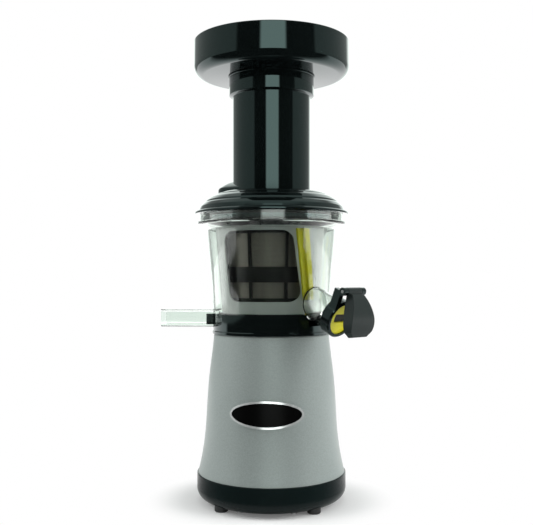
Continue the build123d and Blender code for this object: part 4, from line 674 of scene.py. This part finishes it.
    def camera(self) -> None:
        """A level camera at the height of the bowl, turned a little to the juicer's right."""
        width, height = self.frame_px
        lens = bpy.data.cameras.new("camera")
        lens.sensor_width = SENSOR_WIDTH
        lens.lens = self.focal_px / width * SENSOR_WIDTH
        lens.shift_x = (width / 2 - self.axis_px) / width
        lens.shift_y = (self.horizon_px - height / 2) / width
        lens.clip_start = self.clip_start
        holder = show("camera", lens)
        angle = math.radians(self.turn)
        aside, back = self.distance * math.sin(angle), self.distance * math.cos(angle)
        holder.location = (aside, -back, self.height)
        holder.rotation_euler = (math.pi / 2, 0.0, angle)
        bpy.context.scene.camera = holder


# -------------------- surfaces
class Sheet:
    """Ways to make a mesh from whole arrays of points."""

    @staticmethod
    def mesh(
        name: str, points: np.ndarray, faces: Iterable[Sequence[int]]
    ) -> bpy.types.Object:
        """Makes a new object.

        Args:
            name: its name.
            points: its points in metres.
            faces: each face as a row of point numbers.

        Returns:
            The object, in the scene.
        """
        data = bpy.data.meshes.new(name)
        data.from_pydata(points.tolist(), [], faces)
        data.update()
        return show(name, data)

    @staticmethod
    def rounded(corners: Sequence[Corner], steps: int) -> np.ndarray:
        """Rounds a closed outline's corners with arcs that touch both sides.

        Each arc's middle lies on the corner's bisector, at the radius over the sine of half the
        corner's angle, and its points turn evenly from one touching point to the other.

        Args:
            corners: each corner's two coordinates and its radius.
            steps: points on each arc.

        Returns:
            The rounded outline's points in order.
        """
        corner, radius = np.split(np.asarray(corners, float), [2], axis=1)
        back = np.roll(corner, 1, 0) - corner
        ahead = np.roll(corner, -1, 0) - corner
        back /= np.linalg.norm(back, axis=1, keepdims=True)
        ahead /= np.linalg.norm(ahead, axis=1, keepdims=True)
        half = np.arccos(np.clip((back * ahead).sum(1, keepdims=True), -1, 1)) / 2
        bisector = back + ahead
        bisector /= np.linalg.norm(bisector, axis=1, keepdims=True)
        centre = corner + bisector * radius / np.sin(half)
        first = (corner + back * radius / np.tan(half) - centre)[:, None]
        last = (corner + ahead * radius / np.tan(half) - centre)[:, None]
        sweep = (np.pi - 2 * half)[:, None, :]
        share = np.linspace(0, 1, steps)[None, :, None]
        arc = (first * np.sin((1 - share) * sweep) + last * np.sin(share * sweep)) / np.sin(sweep)
        return (centre[:, None] + arc).reshape(-1, 2)

    @staticmethod
    def box_corners(across: Edge, up: Edge, radius: float) -> list[Corner]:
        """Gives a rectangle's corners, all with one radius.

        Args:
            across: its limits in the first coordinate.
            up: its limits in the second.
            radius: the corners' radius.

        Returns:
            The four corners in order.
        """
        (left, right), (low, high) = across, up
        order = ((left, low), (right, low), (right, high), (left, high))
        return [(x, y, radius) for x, y in order]

    @staticmethod
    def swung(outline: np.ndarray, angle: np.ndarray) -> np.ndarray:
        """Carries an outline of (radius, height) round the Z axis.

        Args:
            outline: the section's points.
            angle: where the sections stand, in radians from +X.

        Returns:
            Sections by points by three: radius cos(angle), radius sin(angle), height.
        """
        radius, height = outline[None, :, 0], outline[None, :, 1]
        angle = angle[:, None]
        return np.stack([radius * np.cos(angle), radius * np.sin(angle), height + 0 * angle], -1)

    @staticmethod
    def grid_faces(rows: int, columns: int, wrap_rows: bool) -> np.ndarray:
        """Works out the four-sided faces of a grid whose points are numbered row by row.

        Args:
            rows: rows of points.
            columns: points in a row, the last of which joins the first.
            wrap_rows: whether the last row joins the first.

        Returns:
            Each face's four point numbers.
        """
        row = np.arange(rows if wrap_rows else rows - 1)[:, None]
        column = np.arange(columns)[None, :]
        next_row, next_column = (row + 1) % rows, (column + 1) % columns
        quads = (
            row * columns + column,
            row * columns + next_column,
            next_row * columns + next_column,
            next_row * columns + column,
        )
        return np.stack(quads, -1).reshape(-1, 4)

    @staticmethod
    def skin(
        name: str, points: np.ndarray, wrap_rows: bool = True, crease: float = 32.0
    ) -> bpy.types.Object:
        """Makes a closed piece from a grid of points whose columns are joined all round.

        A grid that isn't wrapped along its rows is closed with one flat face at each end. The
        faces are turned so that the signed volume, a sum of triple products, is positive.

        Args:
            name: the piece's name.
            points: rows by columns by three, in millimetres.
            wrap_rows: whether the last row joins the first.
            crease: the angle in degrees above which an edge is shaded sharp.

        Returns:
            The piece.
        """
        rows, columns = points.shape[:2]
        flat = points.reshape(-1, 3) * MM
        quads = Sheet.grid_faces(rows, columns, wrap_rows)
        a, b, c, d = (flat[quads[:, k]] for k in range(4))
        volume = np.einsum("ij,ij->", a, np.cross(b, c) + np.cross(c, d))
        faces = quads.tolist()
        if not wrap_rows:
            first = np.arange(columns)
            faces += [first[::-1].tolist(), (first + (rows - 1) * columns).tolist()]
        if volume < 0:
            faces = [face[::-1] for face in faces]
        made = Sheet.mesh(name, flat, faces)
        made.data.polygons.foreach_set("use_smooth", np.ones(len(faces), bool))
        made.data.set_sharp_from_angle(angle=math.radians(crease))
        return made

    @staticmethod
    def turned(name: str, outline: np.ndarray, crease: float = 32.0) -> bpy.types.Object:
        """A ring-shaped piece: a closed outline of (radius, height) carried round the Z axis."""
        angle = np.linspace(0, FULL_TURN, RING_STEPS, endpoint=False)
        return Sheet.skin(name, Sheet.swung(outline, angle), crease=crease)

    @staticmethod
    def turned_solid(name: str, outline: np.ndarray, steps: int = 64) -> bpy.types.Object:
        """A piece turned round the Z axis, closed by a flat face at each end of its outline."""
        angle = np.linspace(0, FULL_TURN, steps, endpoint=False)
        return Sheet.skin(name, Sheet.swung(outline, angle).swapaxes(0, 1), wrap_rows=False)

    @staticmethod
    def sector(
        name: str, outline: np.ndarray, middle: float, spread: float, steps: int = 9
    ) -> bpy.types.Object:
        """Carries a closed outline of (radius, height) part of the way round the Z axis.

        Args:
            name: the piece's name.
            outline: the section.
            middle: bearing of the piece's middle, in degrees from the front to the right.
            spread: half the angle that it covers, in degrees.
            steps: sections along it.

        Returns:
            The piece.
        """
        angle = np.radians(np.linspace(middle - spread, middle + spread, steps) - 90)
        return Sheet.skin(name, Sheet.swung(outline, angle), wrap_rows=False)


def dress(piece: bpy.types.Object, look: Finishes, body: str, *nodes: str) -> None:
    """Gives a piece its finish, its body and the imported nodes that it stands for.

    Args:
        piece: the new piece.
        look: its finish.
        body: the body that it rides on.
        nodes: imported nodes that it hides.
    """
    piece.data.materials.append(look.value.material())
    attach(piece, body)
    if nodes:
        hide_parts(*nodes)
    LOG.info("%s: %d faces on %s", piece.name, len(piece.data.polygons), body)


# -------------------- hopper, tube and lid
@dataclass(frozen=True)
class Hopper:
    """Round tray with a spigot that drops into the tube's socket."""

    tray_r: float = 67.3
    wall: float = 2.4
    foot_round: float = 8.5
    rim_round: float = 1.0
    fall: float = 2.2  # of the tray's floor from its wall to its bore
    tray_z: float = 366.5
    top_z: float = 396.5
    bore_r: float = 31.2
    mouth: Corner = (3.0, 0.2, 3.0)  # out from the bore, above the floor, round
    throat: Corner = (0.0, -1.5, 0.8)
    spigot_r: float = 33.2
    spigot_z: float = 353.9
    collar_z: float = 364.9
    lip_r: float = 37.6
    lip_z: float = 366.3
    neck_r: float = 36.4
    edge_round: float = 0.5
    seat_round: float = 0.2
    neck_round: float = 0.05
    arc_steps: int = 10

    def build(self) -> None:
        """Rounds the section's corners and turns it."""
        inner_r, floor_z = self.tray_r - self.wall, self.tray_z + self.wall
        mouth, throat = (
            (self.bore_r + out, floor_z + above, radius)
            for out, above, radius in (self.mouth, self.throat)
        )
        section = [
            (self.bore_r, self.spigot_z, self.edge_round),
            (self.spigot_r, self.spigot_z, self.edge_round),
            (self.spigot_r, self.collar_z, self.seat_round),
            (self.lip_r, self.collar_z, self.edge_round),
            (self.lip_r, self.lip_z, self.edge_round),
            (self.neck_r, self.lip_z, self.neck_round),
            (self.neck_r, self.tray_z, self.neck_round),
            (self.tray_r, self.tray_z, self.foot_round),
            (self.tray_r, self.top_z, self.rim_round),
            (inner_r, self.top_z, self.rim_round),
            (inner_r, floor_z + self.fall, self.foot_round - self.wall),
            mouth,
            throat,
        ]
        tray = Sheet.turned("hopper_tray", Sheet.rounded(section, self.arc_steps))
        dress(tray, Finishes.BLACK, "hopper", "hopper")


@dataclass(frozen=True)
class FeedTube:
    """Tall tube with a widened socket."""

    bore_r: float = 31.2
    outer_r: float = 33.6
    foot_z: float = 263.5
    step_z: float = 348.7
    socket_r: float = 36.8
    socket_bore_r: float = 33.3
    socket_z: float = 349.7
    seat_z: float = 352.3
    top_z: float = 364.9
    edge_round: float = 0.3
    step_round: float = 0.4
    shoulder_round: float = 0.7
    top_round: float = 0.6
    arc_steps: int = 8

    def build(self) -> None:
        """Rounds the section's corners and turns it."""
        section = [
            (self.bore_r, self.foot_z, self.edge_round),
            (self.outer_r, self.foot_z, self.edge_round),
            (self.outer_r, self.step_z, self.step_round),
            (self.socket_r, self.socket_z, self.shoulder_round),
            (self.socket_r, self.top_z, self.top_round),
            (self.socket_bore_r, self.top_z, self.top_round),
            (self.socket_bore_r, self.seat_z, self.edge_round),
            (self.bore_r, self.seat_z, self.edge_round),
        ]
        shell = Sheet.turned("feed_tube_shell", Sheet.rounded(section, self.arc_steps))
        dress(shell, Finishes.BLACK, "lid", "feed_tube")


@dataclass(frozen=True)
class Lid:
    """Low dome with stepped rings, a flange, a skirt with lugs, a hump and a hub."""

    bore_r: float = 31.2
    tube_r: float = 33.7
    crown_z: float = 265.7
    wall: float = 2.2
    rings: tuple[Corner, ...] = (  # the dome's outside: radius, drop below the crown, round
        (44.5, 0.2, 8.0), (48.6, 1.9, 4.0), (49.4, 2.7, 0.5), (53.5, 4.5, 10.0),
        (57.2, 7.4, 1.6), (57.9, 8.8, 0.5), (59.4, 9.8, 1.2), (61.9, 12.4, 3.0),
        (62.9, 14.8, 1.0), (63.4, 16.2, 0.4), (65.4, 16.4, 0.7),
    )
    inside: tuple[Corner, ...] = (  # the dome's inside, in the same way
        (61.0, 16.6, 0.5), (59.0, 12.7, 3.0), (55.4, 8.9, 6.0), (44.9, 2.2, 6.0),
    )
    flange_r: float = 66.7
    flange_z: float = 246.7
    flange_top_z: float = 248.3
    flange_rounds: tuple[float, float, float] = (0.8, 0.4, 0.15)
    groove_r: float = 56.85
    groove_z: Edge = (244.45, 246.15)
    skirt_r: float = 58.4
    skirt_z: float = 240.5
    skirt_round: float = 0.5
    ledge_z: float = 249.1
    ledge_round: float = 0.3
    sleeve_wall: float = 2.1
    sleeve_drop: float = 3.8
    edge_round: float = 0.4
    fine_round: float = 0.1
    seat_round: float = 0.2
    dome_crease: float = 26.0
    dome_arc_steps: int = 6
    lugs: int = 8
    lug_r: Edge = (57.6, 59.8)
    lug_z: Edge = (240.6, 243.2)
    lug_round: float = 0.3
    lug_arc_steps: int = 4
    lug_spread: float = 2.9  # half of a lug, in degrees
    hump_reach: float = 46.7
    hump_r: float = 15.0
    hump_root_r: float = 32.6
    hump_wall: float = 3.4
    hump_rise: float = 6.6
    hump_run: float = 14.0
    hump_power: float = 1.6
    hump_edge: tuple[float, float] = (1.2, 1.1)  # width and height of the rounded edge
    hump_foot: float = 0.6  # of the hump below the crown
    hump_seat: float = 0.05  # of the hump in the tube
    hump_least: float = 0.15
    hump_spread: float = 62.0
    hump_steps: tuple[int, int] = (61, 24)  # round the tube and outward
    hump_circles: int = 65
    hump_crease: float = 40.0
    hub_r: float = 8.0
    hub_bore_r: float = 5.3
    hub_pole_r: float = 0.3
    hub_foot_z: float = 249.0
    hub_bore_z: float = 258.5
    hub_chamfers: tuple[float, float, float, float] = (0.3, 0.4, 0.5, 0.8)
    bridge_half: float = 4.5
    bridge_drop: float = 6.0
    bridge_round: float = 1.2
    bridge_arc_steps: int = 5
    bridge_seat: float = 0.3
    bridge_steps: int = 9

    def build(self) -> None:
        """Builds the dome, the hump, the hub with its bridge and the lugs."""
        dress(self.dome(), Finishes.BLACK, "lid", "lid")
        for piece in (self.hump(), self.hub(), self.bridge(), *self.rim_lugs()):
            dress(piece, Finishes.BLACK, "lid")

    def rim_lugs(self) -> list[bpy.types.Object]:
        """Makes the lugs that lock the skirt under the bowl's rim, evenly spaced.

        Returns:
            The lugs.
        """
        corners = Sheet.box_corners(self.lug_r, self.lug_z, self.lug_round)
        outline = Sheet.rounded(corners, self.lug_arc_steps)
        return [
            Sheet.sector(f"lid_lug_{k}", outline, 360 * (k + 0.5) / self.lugs, self.lug_spread)
            for k in range(self.lugs)
        ]

    def dome(self) -> bpy.types.Object:
        """Makes the shell: crown, three shallow rings, flange, grooved skirt and the inside.

        Returns:
            The shell.
        """
        seat = self.crown_z - self.wall
        inner_r, sleeve_r = self.skirt_r - self.wall, self.tube_r + self.sleeve_wall
        low_groove, high_groove = self.groove_z
        outside, inside = (
            [(radius, self.crown_z - drop, bend) for radius, drop, bend in rows]
            for rows in (self.rings, self.inside)
        )
        top_bend, low_bend, root_bend = self.flange_rounds
        section = [
            (self.tube_r, self.crown_z, self.edge_round),
            *outside,
            (self.flange_r, self.flange_top_z, top_bend),
            (self.flange_r, self.flange_z, low_bend),
            (self.skirt_r, self.flange_z, root_bend),
            (self.skirt_r, high_groove, self.fine_round),
            (self.groove_r, high_groove, self.fine_round),
            (self.groove_r, low_groove, self.fine_round),
            (self.skirt_r, low_groove, self.fine_round),
            (self.skirt_r, self.skirt_z, self.skirt_round),
            (inner_r, self.skirt_z, self.skirt_round),
            (inner_r, self.ledge_z, self.ledge_round),
            *inside,
            (sleeve_r, seat, self.edge_round),
            (sleeve_r, seat - self.sleeve_drop, self.edge_round),
            (self.bore_r, seat - self.sleeve_drop, self.edge_round),
            (self.bore_r, seat, self.seat_round),
            (self.tube_r, seat, self.fine_round),
        ]
        outline = Sheet.rounded(section, self.dome_arc_steps)
        return Sheet.turned("lid_dome", outline, self.dome_crease)

    def hump(self) -> bpy.types.Object:
        """Makes the hump beside the tube, out to the left.

        Its plan is the hull of a row of circles that shrink from the tube to the hump's end. A
        point's depth inside the hull is the largest of each circle's radius less the point's
        distance from its middle, and the top rises with that depth, steeply at first:
        wall + rise (1 - (1 - depth / run) ^ power). A quarter circle rounds its edge.

        Returns:
            The hump.
        """
        share = np.linspace(0, 1, self.hump_circles)
        middle = share * (self.hump_reach - self.hump_r)
        radius = self.hump_root_r + share * (self.hump_r - self.hump_root_r)
        round_steps, out_steps = self.hump_steps
        bearing = np.radians(np.linspace(-self.hump_spread, self.hump_spread, round_steps))[:, None]
        within = np.maximum(radius**2 - (middle * np.sin(bearing)) ** 2, 0.0)
        edge = (middle * np.cos(bearing) + np.sqrt(within)).max(1)
        inner = self.tube_r - self.hump_seat
        edge = np.maximum(edge, inner + self.hump_least)[:, None]
        reach = inner + (edge - inner) * np.linspace(1, 0, out_steps)[None, :]
        left, side = reach * np.cos(bearing), reach * np.sin(bearing)
        away = np.hypot(left[..., None] - middle, side[..., None])
        depth = np.clip((radius - away).max(-1), 0, self.hump_run)
        rise = 1 - (1 - depth / self.hump_run) ** self.hump_power
        edge_width, edge_height = self.hump_edge
        soft = np.minimum(1.0, depth / edge_width)
        fall = 1 - np.sqrt(np.clip(1 - (1 - soft) ** 2, 0, 1))
        top = self.crown_z + self.hump_wall + self.hump_rise * rise - edge_height * fall
        low = np.full_like(edge, self.crown_z - self.hump_foot)
        reach = np.concatenate([np.full_like(edge, inner), edge, reach], 1)
        height = np.concatenate([low, low, top], 1)
        points = np.stack([-reach * np.cos(bearing), -reach * np.sin(bearing), height], -1)
        return Sheet.skin("lid_hump", points, wrap_rows=False, crease=self.hump_crease)

    def hub(self) -> bpy.types.Object:
        """Makes the blind hub that steadies the auger's nose.

        Returns:
            The hub.
        """
        top, foot, end = self.crown_z - self.wall, self.hub_foot_z, self.hub_bore_z
        bore_end, mouth, rim, shoulder = self.hub_chamfers
        outline = np.array([
            (self.hub_pole_r, end), (self.hub_bore_r - bore_end, end),
            (self.hub_bore_r, end - bore_end), (self.hub_bore_r, foot + mouth),
            (self.hub_bore_r + mouth, foot), (self.hub_r - rim, foot), (self.hub_r, foot + rim),
            (self.hub_r, top - shoulder), (self.hub_r - shoulder, top), (self.hub_pole_r, top),
        ])
        return Sheet.turned_solid("lid_hub", outline)

    def bridge(self) -> bpy.types.Object:
        """Makes the bar that carries the hub: one rounded section, repeated across the bore.

        Returns:
            The bridge.
        """
        heights = (self.crown_z - self.bridge_drop, self.crown_z - self.wall)
        widths = (-self.bridge_half, self.bridge_half)
        corners = Sheet.box_corners(widths, heights, self.bridge_round)
        depth, height = Sheet.rounded(corners, self.bridge_arc_steps).T[:, None, :]
        half = self.bore_r + self.bridge_seat
        across = np.linspace(-half, half, self.bridge_steps)[:, None]
        points = np.stack(np.broadcast_arrays(across, depth, height), -1)
        return Sheet.skin("lid_bridge", points, wrap_rows=False)


@dataclass(frozen=True)
class PulpSeal:
    """Silicone diaphragm in the pulp outlet's collar, with a slot filled by a dark web of painted
    shade that stands for the shadow inside the slot.

    Points are worked out in the outlet's own frame: across, up the collar's face and out along
    the tube, from the middle of the tube's end.
    """

    bearing: float = 49.5  # of the outlet, from the front to the right
    slope: float = 23.0  # of the outlet below the level
    root_r: float = 51.5
    root_z: float = 170.0
    face_r: float = 80.0
    outer_r: float = 13.5
    back: float = -4.6
    front: float = -1.6
    rim: tuple[float, float] = (0.4, 0.6)  # width and height of its chamfer
    dish_r: float = 11.5
    dish_floor_r: float = 10.9
    dish: tuple[tuple[float, float], ...] = (  # share of the way to the slot, depth
        (0.0, 0.6), (0.55, 0.9), (0.9, 0.8), (1.0, 1.1),
    )
    slot: tuple[float, float] = (6.5, 3.6)
    slot_power: float = 8.0
    round_steps: int = 96
    play: float = 0.03
    # painted shade: a dark rubber web put in the slot where there is only shadow
    shade_web_front: float = -4.0
    shade_web_back: float = -4.5
    shade_web_ridge: float = 0.6
    shade_web_steps: int = 13

    def to_world(self, points: np.ndarray) -> np.ndarray:
        """Carries points from the outlet's frame to the juicer's.

        Args:
            points: places across, up and out, in millimetres.

        Returns:
            The places along X, Y and Z: the face's middle plus each part along its own axis.
        """
        bearing, slope = math.radians(self.bearing), math.radians(self.slope)
        out = np.array([math.sin(bearing), -math.cos(bearing)])
        face_z = self.root_z - (self.face_r - self.root_r) * math.tan(slope)
        centre = np.array([*(out * self.face_r), face_z])
        across = np.array([math.cos(bearing), math.sin(bearing), 0.0])
        along = np.array([*(out * math.cos(slope)), -math.sin(slope)])
        return centre + points @ np.stack([across, np.cross(along, across), along])

    def build(self) -> None:
        """Builds the diaphragm and the dark web of painted shade in its slot."""
        dress(self.diaphragm(), Finishes.SILICONE, "base", "pulp_seal")
        # painted shade: the dark rubber web stands for the shadow inside the slot
        dress(self.painted_shade_web(), Finishes.RUBBER, "base")

    def diaphragm(self) -> bpy.types.Object:
        """Makes a plate whose section runs from its rim, over a shallow dish, to the slot.

        Each ring of the grid is a blend between a circle and the slot's outline, taken at the
        same bearing: ring = circle radius (1 - share) + slot share. The slot's outline lies where
        (|across| / half width) ^ power + (|up| / half height) ^ power = 1.

        Returns:
            The diaphragm.
        """
        angle = np.linspace(0, FULL_TURN, self.round_steps, endpoint=False)
        circle = np.stack([np.cos(angle), np.sin(angle)], -1)
        sized = (np.abs(circle) / np.array(self.slot)) ** self.slot_power
        slot = circle / sized.sum(1, keepdims=True) ** (1 / self.slot_power)
        rim_width, rim_height = self.rim
        floor = [(self.dish_floor_r, share, self.front - deep) for share, deep in self.dish]
        rings = np.array([
            (self.outer_r, 0.0, self.back), (self.outer_r, 0.0, self.front - rim_height),
            (self.outer_r - rim_width, 0.0, self.front), (self.dish_r, 0.0, self.front),
            *floor,
            (self.dish_floor_r, 1.0, self.back),
        ])
        reach, share, out = rings.T[:, :, None, None]
        flat = circle * reach * (1 - share) + slot * share
        points = np.concatenate([flat, np.broadcast_to(out, flat[..., :1].shape)], -1)
        return Sheet.skin("pulp_seal_plate", self.to_world(points))

    def painted_shade_web(self) -> bpy.types.Object:
        """Makes a thin dark web across the slot, pinched to a ridge along its middle: painted
        shade, a dark sheet where the slot's inside lies in shadow.

        The ridge stands ridge (1 - |up| / half height) proud of the web's front.

        Returns:
            The web.
        """
        half_width, half = (size - self.play for size in self.slot)
        across = np.linspace(-half_width, half_width, self.shade_web_steps)[:, None]
        front, back = np.linspace(-half, half, 5), np.linspace(half, -half, 3)
        face = self.shade_web_front + self.shade_web_ridge * (1 - np.abs(front) / half)
        up = np.concatenate([front, back])[None, :]
        out = np.concatenate([face, np.full_like(back, self.shade_web_back)])[None, :]
        points = np.stack(np.broadcast_arrays(across, up, out), -1)
        return Sheet.skin("pulp_seal_lips", self.to_world(points), wrap_rows=False)


# -------------------- nodes kept from the frame
@dataclass(frozen=True)
class KeptNodes:
    """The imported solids, which keep their shape and take a finish."""

    special: dict[str, Finishes] = field(default_factory=lambda: {"badge_plate": Finishes.BADGE})

    def dress(self, frame: dict[str, Any]) -> None:
        """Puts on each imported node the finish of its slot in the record.
        """
        slots = {entry["node"]: entry["material_slot"] for entry in frame["record"]["subparts"]}
        for name, node in frame["nodes"].items():
            look = self.special.get(name) or Finishes.of_slot(slots[name])
            for held in node.material_slots:
                held.material = look.value.material()
            if not node.material_slots:
                node.data.materials.append(look.value.material())


def main() -> None:
    """Loads the frame, dresses the juicer and builds the studio round it."""
    logging.basicConfig(level=logging.INFO, format="%(name)s: %(message)s")
    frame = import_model()
    KeptNodes().dress(frame)
    LOG.info("%d packed nodes dressed", len(frame["nodes"]))
    for assembly in (Hopper(), FeedTube(), Lid(), PulpSeal()):
        assembly.build()
    Studio().build()


if __name__ == "__main__":
    main()
